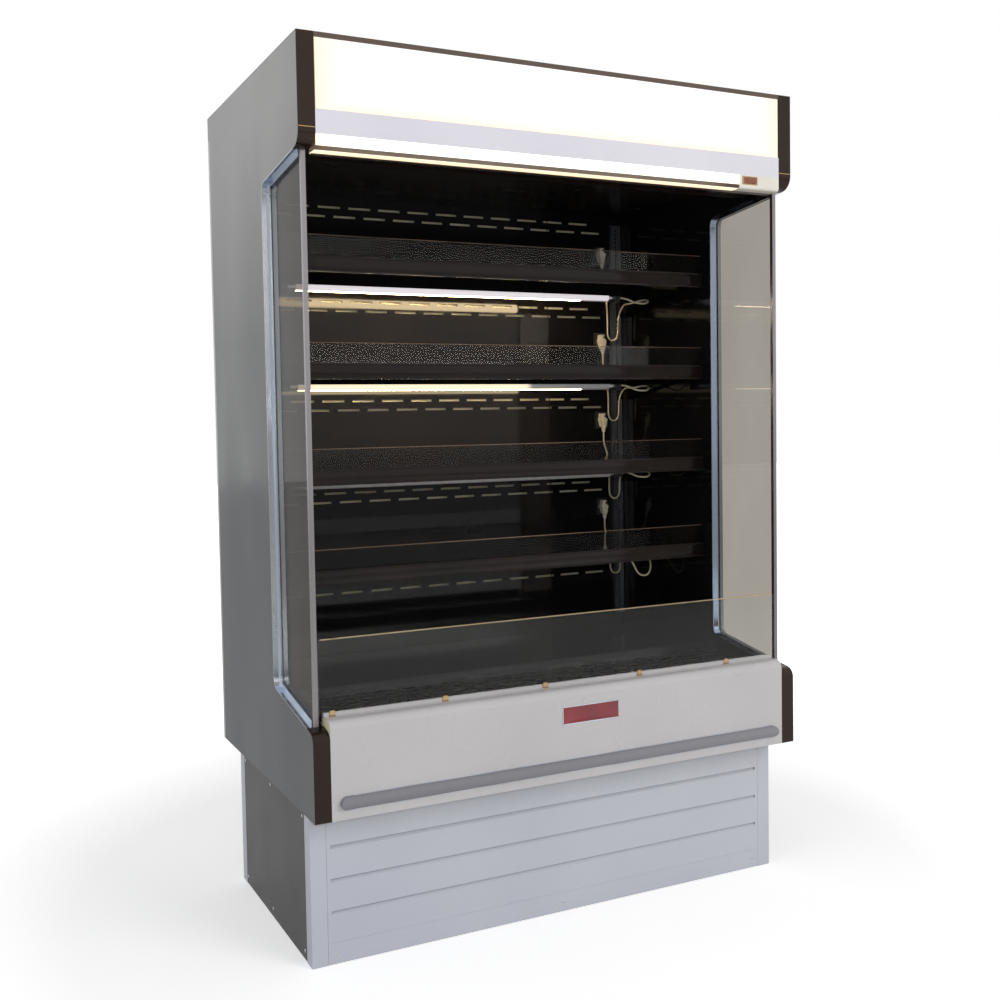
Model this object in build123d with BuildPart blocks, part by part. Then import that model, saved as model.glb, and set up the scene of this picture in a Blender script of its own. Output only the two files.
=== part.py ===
from build123d import *
import math
import os

os.makedirs("parts", exist_ok=True)

# Overall case: X is the width, the front faces -Y, the floor is Z = 0
case_width = 1295.0
case_height = 2006.0
body_depth = 792.0          # lower front face to the rear face
bumper_proud = 13.0         # bumper rail in front of the lower front face
upper_setback = 3.0         # canopy front behind the lower front face
end_thickness = 38.0

# Base
base_height = 350.0
base_inset_front = 84.0
base_inset_rear = 121.0
base_inset_side = 13.0
post_width = 37.0
frame_gauge = 2.5
rail_height = 32.0
rail_width = 30.0
side_sheet = 1.2
floor_sheet = 1.5
supply_hole_radius = 10.0
supply_hole_inset = 134.5

# Louvred front panel of the base
louvre_gauge = 1.5
louvre_side_gap = 0.5
louvre_end_gap = 2.0
louvre_heights = (264.0, 189.0, 116.0)
slit_height = 8.0
slit_margin = 9.0
baffle_depth = 12.0
baffle_rise = 13.0
kick_crease_z = 47.5
crease_size = 2.0
crease_depth = 0.6

# Sheet metal and insulation
liner_gauge = 1.2
skin_gauge = 1.2
flange_gauge = 1.0
rear_insulation = 22.0
rear_duct = 17.6
floor_insulation = 40.0
roof_insulation = 40.0
roof_duct = 20.0
ceiling_drop = 189.0        # below the case top, like the other drops of the canopy
rear_flange_width = 15.0
roof_drop_rear = 60.0
roof_drop_front = 11.0

# Side outline of the end panels
recess_depth = 285.0        # canopy front back to the upright edge of the side opening
recess_low_z = 590.0
recess_top_drop = 264.0
arm_front_z = 540.0         # top of the lower end at its front
canopy_under_drop = 231.0
canopy_nose = 35.0
arm_nose = 25.0
recess_round = 25.0
cap_gauge = 2.0

# Side glass and its trims
glass_thickness = 6.0
glass_setback = 40.0        # glass front edge behind the canopy front
trim_gauge = 1.5
trim_lip = 10.0
lip_width = 3.7
glass_clearance = 0.3
edge_strip_width = 10.0
edge_strip_depth = 10.0

# Front panel, low front glass and bumper
panel_top_z = 567.0
panel_gauge = 1.5
panel_nose = 22.0
front_block_depth = 54.5
panel_rear_drop = 25.0
front_glass_top_z = 733.0
front_glass_reach = 8.5     # past the inner faces of the ends
glass_rib_height = 8.0
glass_rib_gauge = 1.5
bumper_low_z = 371.0
bumper_height = 30.0
bumper_end_gap = 57.5

# Deck and return air grille
deck_top_z = 552.0
deck_gauge = 1.5
deck_lip_top_z = 572.0
deck_lip_hem = 8.0
deck_rear_gap = 13.0
deck_side_gap = 1.5
deck_ledge = 20.5
grille_top_z = 558.0
grille_gauge = 1.5
grille_gap = 0.5
grille_side_gap = 1.0
grille_slot_length = 44.0
grille_slot_width = 14.0
grille_slot_pitch = 56.0
grille_row_pitch = 34.0
grille_rows = 5
grille_ledge = 17.0

# Evaporator compartment under the deck
plenum_gauge = 1.5
plenum_set_back = 41.5      # plenum plate behind the deck's front edge
plenum_ledge = 65.0
plenum_foot = 20.0
evap_fan_radius = 57.0
evap_fan_x = 280.0
evap_fan_z = 470.0
evap_end_gap = 69.5
evap_front_gap = 130.0
evap_rear_gap = 49.3
evap_height = 120.0
evap_foot = 10.0
fin_pitch = 20.0
fin_slot = 2.0
fin_slot_depth = 6.0

# Shelf uprights
upright_width = 34.0
upright_depth = 12.0
upright_gauge = 2.0
upright_side_gap = 2.5
upright_low_z = 590.0
upright_top_drop = 216.0
first_slot_z = 614.8
slot_pitch = 12.7
slot_width = 5.0
slot_height = 8.0

# Shelves, numbered from the top
shelf_slots_down = (15, 35, 55, 74)  # slots below the top one
shelf_front_setback = 316.0  # behind the canopy front
shelf_side_gap = 6.5
shelf_gauge = 1.5
shelf_rear_gap = 18.5
hook_drop = 14.0            # shelf top above the slot that carries it
shelf_front_fold = 34.0
shelf_side_fold = 20.0
shelf_rear_fold = 15.0
bracket_thickness = 3.0
bracket_height = 85.0
bracket_nose = 26.0
bracket_front_gap = 50.5
seat_clearance = 0.3
tongue_height = 6.0
tongue_length = 4.0
lip_gap = 1.3
lip_drop = 2.5
lug_height = 4.0
lug_slots_down = 4
shield_gap = 22.0           # lamp shield in front of the lamp
shield_height = 44.0
shield_gauge = 1.2
rail_depth = 4.0
price_rail_height = 39.0
price_rail_rise = 1.0
price_rail_gauge = 1.5
price_rail_overhang = 3.0
stop_height = 50.0
stop_thickness = 3.0
stop_foot = 14.0
lamp_radius = 13.0
lamp_drop = 47.0
lamp_setback = 235.5        # lamp behind the shelf front
lamp_left_gap = 91.0        # lamp ends inside the shelf ends
lamp_right_gap = 141.0
holder_length = 18.0
holder_width = 28.0
holder_below = 14.0

# Lamp plugs and sockets on the rear wall, and the lamp leads
socket_inset = 76.5
socket_width = 40.0
socket_height = 52.0
socket_depth = 10.0
plug_width = 26.0
plug_height = 44.0
plug_depth = 22.0
plug_rises = (102.0, 93.0, 106.0, 80.0)
relief_length = 16.0
relief_wide_radius = 8.0
lead_diameter = 5.0
lead_sags = (62.0, 62.0, 62.0, 112.0)
lead_loops = (157.0, 150.0, 137.0, 129.0)

# Rear liner slots
air_slot_length = 64.0
air_slot_height = 6.0
air_slot_pitch = 88.0
air_rises = (195.0, 192.0, 171.0, 156.3, 194.0)  # rows above the shelves and the deck
air_row_gap = 25.0

# Canopy
canopy_depth = 48.5
canopy_gauge = 1.5
sign_drop = 157.0
band_drop = 208.0
sign_thickness = 3.0
sign_tuck = 6.0
sign_top_gap = 5.0
lens_drop = 242.0
lens_gauge = 2.5
lens_round = 20.0
canopy_ledge = 16.0
gusset_width = 1.5
discharge_width = 98.8
discharge_drop = 232.0
discharge_height = 18.0
discharge_ledge = 8.0
cell_length = 16.0
cell_width = 14.0
cell_wall = 4.0
cell_margin = 25.0
cell_rows = 5
canopy_lamp_radius = 13.0
canopy_lamp_end_gap = 49.5
canopy_lamp_drops = (81.0, 191.0)
canopy_holder = 32.0

# Light switch at the right of the canopy
switch_inset = 91.5
switch_drop = 221.0
switch_plate_length = 122.5
switch_plate_round = 8.0
rocker_half_length = 19.0
rocker_height = 14.0
rocker_depth = 10.5
rocker_dish = 2.3
rocker_tilt = 7.0
rocker_gap_end = 2.0
rocker_gap_side = 1.0
rocker_pivot_depth = 7.5
pin_radius = 1.5
pin_clearance = 0.05
ear_thickness = 3.7
ear_half_width = 5.0
ear_gap = 0.3

# Condensing unit in the base
condenser_side_gap = 74.5
condenser_length = 500.0
condenser_top_gap = 28.0
condenser_thickness = 45.0
condenser_gap = 20.5
condenser_fin_pitch = 12.0
shroud_depth = 40.0
shroud_gauge = 1.5
cond_fan_rim = 16.0
compressor_inset = 304.5
compressor_rear_gap = 221.5
compressor_radius = 85.0
compressor_height = 190.0
compressor_dome = 40.0
compressor_plate = 200.0
compressor_foot_radius = 14.0
compressor_foot_height = 12.0
terminal_low = 60.0
terminal_height = 70.0
terminal_width = 60.0
terminal_depth = 28.0
drain_pan_side_gap = 184.5
drain_pan_length = 400.0
drain_pan_depth = 230.0
drain_pan_height = 50.0
drain_pan_wall = 1.5

# Fans and their motors
fan_gap = 4.0               # blade tips to the edge of the opening
shaft_radius = 3.0
running_clearance = 0.05
arm_gauge = 3.0
arm_width = 10.0
arm_overlap = 7.0
motor_gap = 1.0

# Planes worked out from the sizes above
rear_y = (body_depth + bumper_proud) / 2
lower_front_y = rear_y - body_depth
upper_front_y = lower_front_y + upper_setback
case_half = case_width / 2
inside_half = case_half - end_thickness
base_front_y = lower_front_y + base_inset_front
base_rear_y = rear_y - base_inset_rear
base_half = case_half - base_inset_side
recess_y = upper_front_y + recess_depth
glass_y = upper_front_y + glass_setback
duct_rear_y = rear_y - skin_gauge - rear_insulation
liner_y = duct_rear_y - rear_duct - liner_gauge
glass_x = (inside_half + case_half) / 2 - 2.5
front_glass_half = inside_half + front_glass_reach
ceiling_z = case_height - ceiling_drop
recess_high_z = case_height - recess_top_drop
canopy_under_z = case_height - canopy_under_drop
sign_low_z = case_height - sign_drop
band_low_z = case_height - band_drop
lens_low_z = case_height - lens_drop
discharge_low_z = case_height - discharge_drop
canopy_lamp_half = inside_half - canopy_lamp_end_gap
switch_x = inside_half - switch_inset
switch_z = case_height - switch_drop
switch_plate_start = inside_half - switch_plate_length
tub_floor_z = base_height + floor_insulation
tub_roof_z = ceiling_z + liner_gauge + roof_duct
front_block_y = lower_front_y + front_block_depth
deck_seat_z = deck_top_z - deck_gauge
plenum_y = recess_y + plenum_set_back
upright_face_y = liner_y - upright_depth
upright_x = inside_half - upright_side_gap - upright_width / 2
upright_high_z = case_height - upright_top_drop
slot_count = int((upright_high_z - first_slot_z - slot_height) / slot_pitch) + 1
shelf_half = inside_half - shelf_side_gap
lamp_left_x = lamp_left_gap - shelf_half
lamp_right_x = shelf_half - lamp_right_gap
socket_x = inside_half - socket_inset
shelf_front_y = upper_front_y + shelf_front_setback
shelf_fold_y = shelf_front_y + rail_depth
shelf_rear_y = liner_y - shelf_rear_gap
shelf_tops = [
    first_slot_z + (slot_count - 1 - slots) * slot_pitch + hook_drop for slots in shelf_slots_down
]
air_slots_per_row = int(2 * inside_half / air_slot_pitch) - 1
air_slot_rows = [top + rise for top, rise in zip((*shelf_tops, deck_top_z), air_rises)]
canopy_rear_y = upper_front_y + canopy_depth
condenser_y = base_front_y + condenser_gap
condenser_floor_z = rail_height
condenser_left_x = condenser_side_gap - base_half
condenser_height = base_height - condenser_top_gap - condenser_floor_z - evap_foot
cond_fan_radius = condenser_height / 2 - cond_fan_rim
compressor_x = base_half - compressor_inset
compressor_y = base_rear_y - compressor_rear_gap
drain_pan_left_x = drain_pan_side_gap - base_half
supply_hole_x = base_half - supply_hole_inset
bumper_length = case_width - 2 * bumper_end_gap
evap_half_length = inside_half - evap_end_gap
corner = (Align.MIN, Align.MIN, Align.MIN)


def slab(xs, ys, zs, mode=Mode.ADD):
    xs, ys, zs = sorted(xs), sorted(ys), sorted(zs)
    with Locations((xs[0], ys[0], zs[0])):
        Box(xs[1] - xs[0], ys[1] - ys[0], zs[1] - zs[0], align=corner, mode=mode)


# In a side sketch the first coordinate is Y and the second is Z
def patch(ys, zs, mode=Mode.ADD):
    ys, zs = sorted(ys), sorted(zs)
    with Locations((ys[0], zs[0])):
        Rectangle(ys[1] - ys[0], zs[1] - zs[0], align=(Align.MIN, Align.MIN), mode=mode)


def nearest(sketch, y, z):
    return sketch.vertices().sort_by_distance(Vector(y, z, 0))[0]


def keep(builder, name):
    builder.part.label = name
    export_step(builder.part, f"parts/{name}.step")


# Side outline of an end panel with its finished edges
with BuildSketch() as end_outline:
    with BuildLine():
        Polyline(
            (upper_front_y, case_height),
            (rear_y - skin_gauge, case_height),
            (rear_y - skin_gauge, base_height),
            (lower_front_y, base_height),
            (lower_front_y, arm_front_z),
            (recess_y, recess_low_z),
            (recess_y, recess_high_z),
            (upper_front_y, canopy_under_z),
            close=True,
        )
    make_face()
    fillet(nearest(end_outline, upper_front_y, canopy_under_z), canopy_nose)
    fillet(nearest(end_outline, lower_front_y, arm_front_z), arm_nose)
    fillet(nearest(end_outline, recess_y, recess_low_z), recess_round)
    fillet(nearest(end_outline, recess_y, recess_high_z), recess_round)
end_face = end_outline.sketch

opening_zs = (arm_front_z - 30, canopy_under_z + 30)

with BuildSketch() as cap_outline:
    add(end_face)
    offset(end_face, amount=-cap_gauge, kind=Kind.INTERSECTION, mode=Mode.SUBTRACT)
    patch((glass_y, recess_y + 60), opening_zs, Mode.SUBTRACT)
    patch((rear_y - skin_gauge - cap_gauge, rear_y), (0, case_height + 10), Mode.SUBTRACT)
    patch((rear_y - rear_flange_width, rear_y), (0, case_height - roof_drop_rear), Mode.SUBTRACT)

with BuildSketch() as trim_outline:
    add(end_face)
    offset(end_face, amount=-trim_gauge, kind=Kind.INTERSECTION, mode=Mode.SUBTRACT)
    patch((glass_y, recess_y + 60), opening_zs, Mode.INTERSECT)

with BuildSketch() as lip_outline:
    offset(end_face, amount=trim_lip, kind=Kind.INTERSECTION)
    add(end_face, mode=Mode.SUBTRACT)
    patch((glass_y + edge_strip_depth + 1, recess_y + 60), opening_zs, Mode.INTERSECT)

with BuildSketch() as glass_outline:
    patch((glass_y, recess_y + 60), opening_zs)
    add(end_face, mode=Mode.SUBTRACT)

with BuildSketch() as strip_outline:
    patch((glass_y - trim_gauge, glass_y - trim_gauge + edge_strip_depth), opening_zs)
    add(end_face, mode=Mode.SUBTRACT)

with BuildSketch() as core_outline:
    add(end_face)
    add(cap_outline.sketch, mode=Mode.SUBTRACT)
    add(trim_outline.sketch, mode=Mode.SUBTRACT)

# Insulated end panels, with a rebate for the rear panel's flange
with BuildPart() as right_end_panel:
    with BuildSketch(Plane.YZ.offset(inside_half + liner_gauge)):
        add(core_outline.sketch)
    extrude(amount=end_thickness - liner_gauge)
    slab(
        (case_half - flange_gauge, case_half + 1),
        (rear_y - rear_flange_width, rear_y),
        (base_height - 1, case_height - roof_drop_rear),
        Mode.SUBTRACT,
    )
keep(right_end_panel, "right_end_panel")

with BuildPart() as left_end_panel:
    mirror(right_end_panel.part, about=Plane.YZ)
keep(left_end_panel, "left_end_panel")

# Glossy inner skins of both ends
with BuildPart() as end_liners:
    with BuildSketch(Plane.YZ.offset(inside_half)):
        add(core_outline.sketch)
    extrude(amount=liner_gauge)
    mirror(about=Plane.YZ)
keep(end_liners, "end_liners")

# Dark caps over the front, top and bottom edges of the ends
with BuildPart() as end_caps:
    with BuildSketch(Plane.YZ.offset(inside_half)):
        add(cap_outline.sketch)
    extrude(amount=end_thickness)
    mirror(about=Plane.YZ)
keep(end_caps, "end_caps")

# Bright glazing channels round the side openings
with BuildPart() as glazing_trims:
    with BuildSketch(Plane.YZ.offset(inside_half)):
        add(trim_outline.sketch)
    extrude(amount=end_thickness)
    lip_gap_x = glass_thickness / 2 + glass_clearance
    for lip_x in (glass_x - lip_gap_x - lip_width, glass_x + lip_gap_x):
        with BuildSketch(Plane.YZ.offset(lip_x)):
            add(lip_outline.sketch)
        extrude(amount=lip_width)
    mirror(about=Plane.YZ)
keep(glazing_trims, "glazing_trims")

with BuildPart() as side_glasses:
    with BuildSketch(Plane.YZ.offset(glass_x - glass_thickness / 2)):
        add(glass_outline.sketch)
    extrude(amount=glass_thickness)
    mirror(about=Plane.YZ)
keep(side_glasses, "side_glasses")

# Polished channels on the front edges of the side glasses
with BuildPart() as glass_edge_strips:
    with BuildSketch(Plane.YZ.offset(glass_x - edge_strip_width / 2)):
        add(strip_outline.sketch)
    extrude(amount=edge_strip_width)
    slab(
        (glass_x - glass_thickness / 2, glass_x + glass_thickness / 2),
        (glass_y, glass_y + edge_strip_depth),
        opening_zs,
        Mode.SUBTRACT,
    )
    mirror(about=Plane.YZ)
keep(glass_edge_strips, "glass_edge_strips")

# Rear panel, folded round the rear edges of the ends
with BuildPart() as rear_panel:
    panel_zs = (base_height, case_height - roof_drop_rear)
    slab((-case_half, case_half), (rear_y - skin_gauge, rear_y), panel_zs)
    for side in (-1, 1):
        slab(
            (side * (case_half - flange_gauge), side * case_half),
            (rear_y - rear_flange_width, rear_y),
            panel_zs,
        )
keep(rear_panel, "rear_panel")

# Roof panel between the ends, folded down at the front and the rear
with BuildPart() as roof_panel:
    slab(
        (-inside_half, inside_half),
        (upper_front_y, rear_y),
        (case_height - skin_gauge, case_height),
    )
    slab(
        (-inside_half, inside_half),
        (upper_front_y, upper_front_y + skin_gauge),
        (case_height - roof_drop_front, case_height),
    )
    slab(
        (-case_half, case_half),
        (rear_y - skin_gauge, rear_y),
        (case_height - roof_drop_rear, case_height),
    )
keep(roof_panel, "roof_panel")

# Block behind the front panel, with its rounded upper front edge
with BuildSketch() as front_block:
    patch((lower_front_y, front_block_y), (base_height, panel_top_z))
    fillet(nearest(front_block, lower_front_y, panel_top_z), panel_nose)
with BuildSketch() as front_core:
    offset(front_block.sketch, amount=-panel_gauge, kind=Kind.INTERSECTION)
    patch((lower_front_y + panel_gauge, front_block_y - panel_gauge), (base_height, base_height + 20))

# Front panel: face, rounded top, rear fold and the ribs that hold the low glass
with BuildPart() as front_panel:
    with BuildSketch(Plane.YZ.offset(-inside_half)):
        add(front_block.sketch)
        add(front_core.sketch, mode=Mode.SUBTRACT)
        patch(
            (lower_front_y + panel_gauge, front_block_y + 1),
            (base_height - 1, panel_top_z - panel_rear_drop),
            Mode.SUBTRACT,
        )
        for rib_y in (
            glass_y - glass_clearance - glass_rib_gauge,
            glass_y + glass_thickness + glass_clearance,
        ):
            patch((rib_y, rib_y + glass_rib_gauge), (panel_top_z - 0.5, panel_top_z + glass_rib_height))
    extrude(amount=2 * inside_half)
keep(front_panel, "front_panel")

with BuildPart() as front_glass:
    slab(
        (-front_glass_half, front_glass_half),
        (glass_y, glass_y + glass_thickness),
        (panel_top_z, front_glass_top_z),
    )
    fillet(front_glass.edges().filter_by(Axis.Y).group_by(Axis.Z)[-1], 6)
keep(front_glass, "front_glass")

# Foamed tub: front block, floor, rear wall and roof in one piece
with BuildPart() as insulated_tub:
    with BuildSketch(Plane.YZ.offset(-inside_half)):
        add(front_core.sketch)
        ledge_y = front_block_y + grille_ledge
        patch((front_block_y - panel_gauge, ledge_y), (base_height, panel_top_z - panel_rear_drop))
        patch((front_block_y, ledge_y), (panel_top_z - panel_rear_drop, deck_seat_z))
        patch((ledge_y, rear_y - skin_gauge), (base_height, tub_floor_z))
        patch((duct_rear_y, rear_y - skin_gauge), (base_height, tub_roof_z + roof_insulation))
        patch((canopy_rear_y, rear_y - skin_gauge), (tub_roof_z, tub_roof_z + roof_insulation))
    extrude(amount=2 * inside_half)
keep(insulated_tub, "insulated_tub")

# Slotted rear liner, with the ledge that carries the deck
with BuildPart() as rear_liner:
    slab((-inside_half, inside_half), (liner_y, liner_y + liner_gauge), (deck_seat_z - deck_gauge, ceiling_z))
    slab(
        (-inside_half, inside_half),
        (liner_y - deck_ledge, liner_y + liner_gauge),
        (deck_seat_z - deck_gauge, deck_seat_z),
    )
    slot_spots = []
    for row_z in air_slot_rows:
        for row in range(2):
            for column in range(air_slots_per_row):
                slot_x = (column - (air_slots_per_row - 1) / 2 + row / 2 - 0.25) * air_slot_pitch
                slot_spots.append((slot_x, liner_y + liner_gauge / 2, row_z - row * air_row_gap))
    with Locations(*slot_spots):
        Box(air_slot_length, 4 * liner_gauge, air_slot_height, mode=Mode.SUBTRACT)
keep(rear_liner, "rear_liner")

# Ceiling liner, turned down at the front to the discharge grille
ceiling_front_y = canopy_rear_y + canopy_gauge + discharge_width
with BuildPart() as ceiling_liner:
    with BuildSketch(Plane.YZ.offset(-inside_half)):
        patch((ceiling_front_y, liner_y + liner_gauge), (ceiling_z, ceiling_z + liner_gauge))
        patch(
            (ceiling_front_y, ceiling_front_y + liner_gauge),
            (discharge_low_z - liner_gauge, ceiling_z + liner_gauge),
        )
        patch(
            (ceiling_front_y - discharge_ledge, ceiling_front_y + liner_gauge),
            (discharge_low_z - liner_gauge, discharge_low_z),
        )
    extrude(amount=2 * inside_half)
keep(ceiling_liner, "ceiling_liner")

# Discharge grille that sends the air curtain down
with BuildPart() as discharge_grille:
    grille_y = (canopy_rear_y + ceiling_front_y) / 2
    with Locations((0, grille_y, discharge_low_z)):
        Box(
            2 * (inside_half - deck_side_gap),
            discharge_width,
            discharge_height,
            align=(Align.CENTER, Align.CENTER, Align.MIN),
        )
    with Locations((0, grille_y, discharge_low_z + discharge_height / 2)):
        cell_columns = int(2 * (inside_half - cell_margin) / (cell_length + cell_wall))
        with GridLocations(cell_length + cell_wall, cell_width + cell_wall, cell_columns, cell_rows):
            Box(cell_length, cell_width, 2 * discharge_height, mode=Mode.SUBTRACT)
keep(discharge_grille, "discharge_grille")

# Slotted uprights that carry the shelves
with BuildPart() as shelf_uprights:
    upright_xs = (upright_x - upright_width / 2, upright_x + upright_width / 2)
    slab(upright_xs, (upright_face_y, liner_y), (upright_low_z, upright_high_z))
    slab(
        (upright_xs[0] + upright_gauge, upright_xs[1] - upright_gauge),
        (upright_face_y + upright_gauge, liner_y + 1),
        (upright_low_z - 1, upright_high_z + 1),
        Mode.SUBTRACT,
    )
    with Locations(
        *[
            (upright_x, upright_face_y, first_slot_z + slot * slot_pitch + slot_height / 2)
            for slot in range(slot_count)
        ]
    ):
        Box(slot_width, 4 * upright_gauge, slot_height, mode=Mode.SUBTRACT)
    mirror(about=Plane.YZ)
keep(shelf_uprights, "shelf_uprights")

# Deck pan that lifts out
with BuildPart() as deck_pan:
    deck_xs = (-inside_half + deck_side_gap, inside_half - deck_side_gap)
    slab(deck_xs, (recess_y, liner_y - deck_rear_gap), (deck_seat_z, deck_top_z))
    slab(deck_xs, (recess_y, recess_y + deck_gauge), (deck_seat_z, deck_lip_top_z))
    slab(
        deck_xs,
        (recess_y, recess_y + deck_lip_hem),
        (deck_lip_top_z - deck_gauge, deck_lip_top_z),
    )
keep(deck_pan, "deck_pan")

# Return air grille that lifts out
with BuildPart() as return_grille:
    grille_ys = (front_block_y + grille_gap, recess_y - grille_gap)
    grille_half = inside_half - grille_side_gap
    slab((-grille_half, grille_half), grille_ys, (deck_seat_z, grille_top_z))
    slab(
        (-grille_half + grille_gauge, grille_half - grille_gauge),
        (grille_ys[0] + grille_gauge, grille_ys[1] - grille_gauge),
        (deck_seat_z - 1, grille_top_z - grille_gauge),
        Mode.SUBTRACT,
    )
    slot_columns = int(2 * grille_half / grille_slot_pitch)
    with Locations((0, sum(grille_ys) / 2, grille_top_z)):
        with GridLocations(grille_slot_pitch, grille_row_pitch, slot_columns, grille_rows):
            Box(grille_slot_length, grille_slot_width, 4 * grille_gauge, mode=Mode.SUBTRACT)
keep(return_grille, "return_grille")

# Plenum plate with the two evaporator fan openings
evap_hole = evap_fan_radius + fan_gap
with BuildPart() as fan_plenum:
    plenum_xs = (-inside_half, inside_half)
    slab(plenum_xs, (plenum_y, plenum_y + plenum_gauge), (tub_floor_z, deck_seat_z))
    slab(plenum_xs, (plenum_y - plenum_ledge, plenum_y), (deck_seat_z - plenum_gauge, deck_seat_z))
    slab(plenum_xs, (plenum_y, plenum_y + plenum_foot), (tub_floor_z, tub_floor_z + plenum_gauge))
    with Locations(
        *[Location((side * evap_fan_x, plenum_y, evap_fan_z), (90, 0, 0)) for side in (-1, 1)]
    ):
        Cylinder(evap_hole, 4 * plenum_gauge, mode=Mode.SUBTRACT)
keep(fan_plenum, "fan_plenum")


# A finned block between two end plates, its fins facing the front
def finned_coil(xs, ys, zs, pitch, foot_z):
    slab(xs, ys, zs)
    fins = int((xs[1] - xs[0]) / pitch) - 1
    with Locations((sum(xs) / 2, ys[0], sum(zs) / 2)):
        with GridLocations(pitch, 1, fins, 1):
            Box(fin_slot, 2 * fin_slot_depth, zs[1] - zs[0] - 2 * fin_slot_depth, mode=Mode.SUBTRACT)
    for plate_x in (xs[0] - fin_slot, xs[1]):
        slab((plate_x, plate_x + fin_slot), ys, (foot_z, zs[1] + fin_slot))


with BuildPart() as evaporator_coil:
    coil_y = plenum_y + evap_front_gap
    finned_coil(
        (-evap_half_length, evap_half_length),
        (coil_y, duct_rear_y - evap_rear_gap),
        (tub_floor_z + evap_foot, tub_floor_z + evap_foot + evap_height),
        fin_pitch,
        tub_floor_z,
    )
keep(evaporator_coil, "evaporator_coil")


# A fan that turns about Y: its blades stop just in front of the plate at plate_y
def fan_rotor(x, plate_y, z, radius, hub_radius, depth, blades, pitch_angle):
    centre_y = plate_y - depth / 2
    with Locations(Location((x, centre_y, z), (90, 0, 0))):
        with PolarLocations((radius + hub_radius) / 2, blades):
            Box(
                radius - hub_radius + 4,
                1.5 * hub_radius,
                2.0,
                rotation=(pitch_angle, 0, 0),
            )
        Cylinder(radius, depth, mode=Mode.INTERSECT)
        Cylinder(hub_radius, depth)
        Cylinder(shaft_radius + running_clearance, 2 * depth, mode=Mode.SUBTRACT)


# Its motor behind the plate, on arms that reach past the opening
def fan_motor(x, plate_rear_y, z, hole_radius, motor_radius, length, shaft_length):
    with Locations(Location((x, plate_rear_y, z), (-90, 0, 0))):
        Cylinder(motor_radius, length, align=(Align.CENTER, Align.CENTER, Align.MIN))
        with PolarLocations((hole_radius + arm_overlap) / 2, 4, start_angle=45):
            Box(
                hole_radius + arm_overlap,
                arm_width,
                arm_gauge,
                align=(Align.CENTER, Align.CENTER, Align.MIN),
            )
        Cylinder(shaft_radius, 2 * shaft_length)


evap_hub_radius = 20.0
evap_fan_depth = 14.0
for side, name in ((-1, "evaporator_fan_left"), (1, "evaporator_fan_right")):
    with BuildPart() as evaporator_fan:
        fan_rotor(
            side * evap_fan_x,
            plenum_y + plenum_gauge - motor_gap,
            evap_fan_z,
            evap_fan_radius,
            evap_hub_radius,
            evap_fan_depth,
            5,
            28,
        )
    keep(evaporator_fan, name)

# Condenser coil behind the louvred panel
condenser_xs = (condenser_left_x, condenser_left_x + condenser_length)
condenser_zs = (condenser_floor_z + evap_foot, condenser_floor_z + evap_foot + condenser_height)
shroud_y = condenser_y + condenser_thickness + shroud_depth
with BuildPart() as condenser_coil:
    finned_coil(
        condenser_xs,
        (condenser_y, condenser_y + condenser_thickness),
        condenser_zs,
        condenser_fin_pitch,
        condenser_floor_z,
    )
keep(condenser_coil, "condenser_coil")

# Shroud from the coil back to the fan opening
cond_fan_x = sum(condenser_xs) / 2
cond_fan_z = sum(condenser_zs) / 2
cond_hole = cond_fan_radius + fan_gap
with BuildPart() as fan_shroud:
    shroud_zs = (condenser_floor_z, condenser_zs[1] + fin_slot)
    slab(condenser_xs, (condenser_y + condenser_thickness, shroud_y), shroud_zs)
    slab(
        (condenser_xs[0] + shroud_gauge, condenser_xs[1] - shroud_gauge),
        (condenser_y + condenser_thickness - 1, shroud_y - shroud_gauge),
        (shroud_zs[0] + shroud_gauge, shroud_zs[1] - shroud_gauge),
        Mode.SUBTRACT,
    )
    with Locations(Location((cond_fan_x, shroud_y, cond_fan_z), (90, 0, 0))):
        Cylinder(cond_hole, 4 * shroud_gauge, mode=Mode.SUBTRACT)
keep(fan_shroud, "fan_shroud")

cond_hub_radius = 38.0
cond_fan_depth = 26.0
with BuildPart() as condenser_fan:
    fan_rotor(
        cond_fan_x,
        shroud_y - motor_gap,
        cond_fan_z,
        cond_fan_radius,
        cond_hub_radius,
        cond_fan_depth,
        5,
        26,
    )
keep(condenser_fan, "condenser_fan")

with BuildPart() as fan_motors:
    for side in (-1, 1):
        fan_motor(
            side * evap_fan_x,
            plenum_y + plenum_gauge,
            evap_fan_z,
            evap_hole,
            24.0,
            40.0,
            evap_fan_depth,
        )
    fan_motor(cond_fan_x, shroud_y, cond_fan_z, cond_hole, 42.0, 70.0, cond_fan_depth)
keep(fan_motors, "fan_motors")

# Hermetic compressor on its foot plate and rubber feet
with BuildPart() as compressor:
    plate_z = condenser_floor_z + compressor_foot_height
    with Locations((compressor_x, compressor_y, plate_z)):
        Cylinder(
            compressor_radius,
            compressor_height,
            align=(Align.CENTER, Align.CENTER, Align.MIN),
        )
    fillet(compressor.edges().group_by(Axis.Z)[-1], compressor_dome)
    fillet(compressor.edges().group_by(Axis.Z)[0], compressor_dome / 4)
    with Locations((compressor_x, compressor_y, plate_z + 2)):
        Box(compressor_plate, compressor_plate, 4)
    with Locations((compressor_x, compressor_y, condenser_floor_z)):
        with GridLocations(compressor_plate - 36, compressor_plate - 36, 2, 2):
            Cylinder(
                compressor_foot_radius,
                compressor_foot_height,
                align=(Align.CENTER, Align.CENTER, Align.MIN),
            )
    slab(
        (compressor_x + compressor_radius - 10, compressor_x + compressor_radius + terminal_depth),
        (compressor_y - terminal_width / 2, compressor_y + terminal_width / 2),
        (plate_z + terminal_low, plate_z + terminal_low + terminal_height),
    )
keep(compressor, "compressor")

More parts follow.
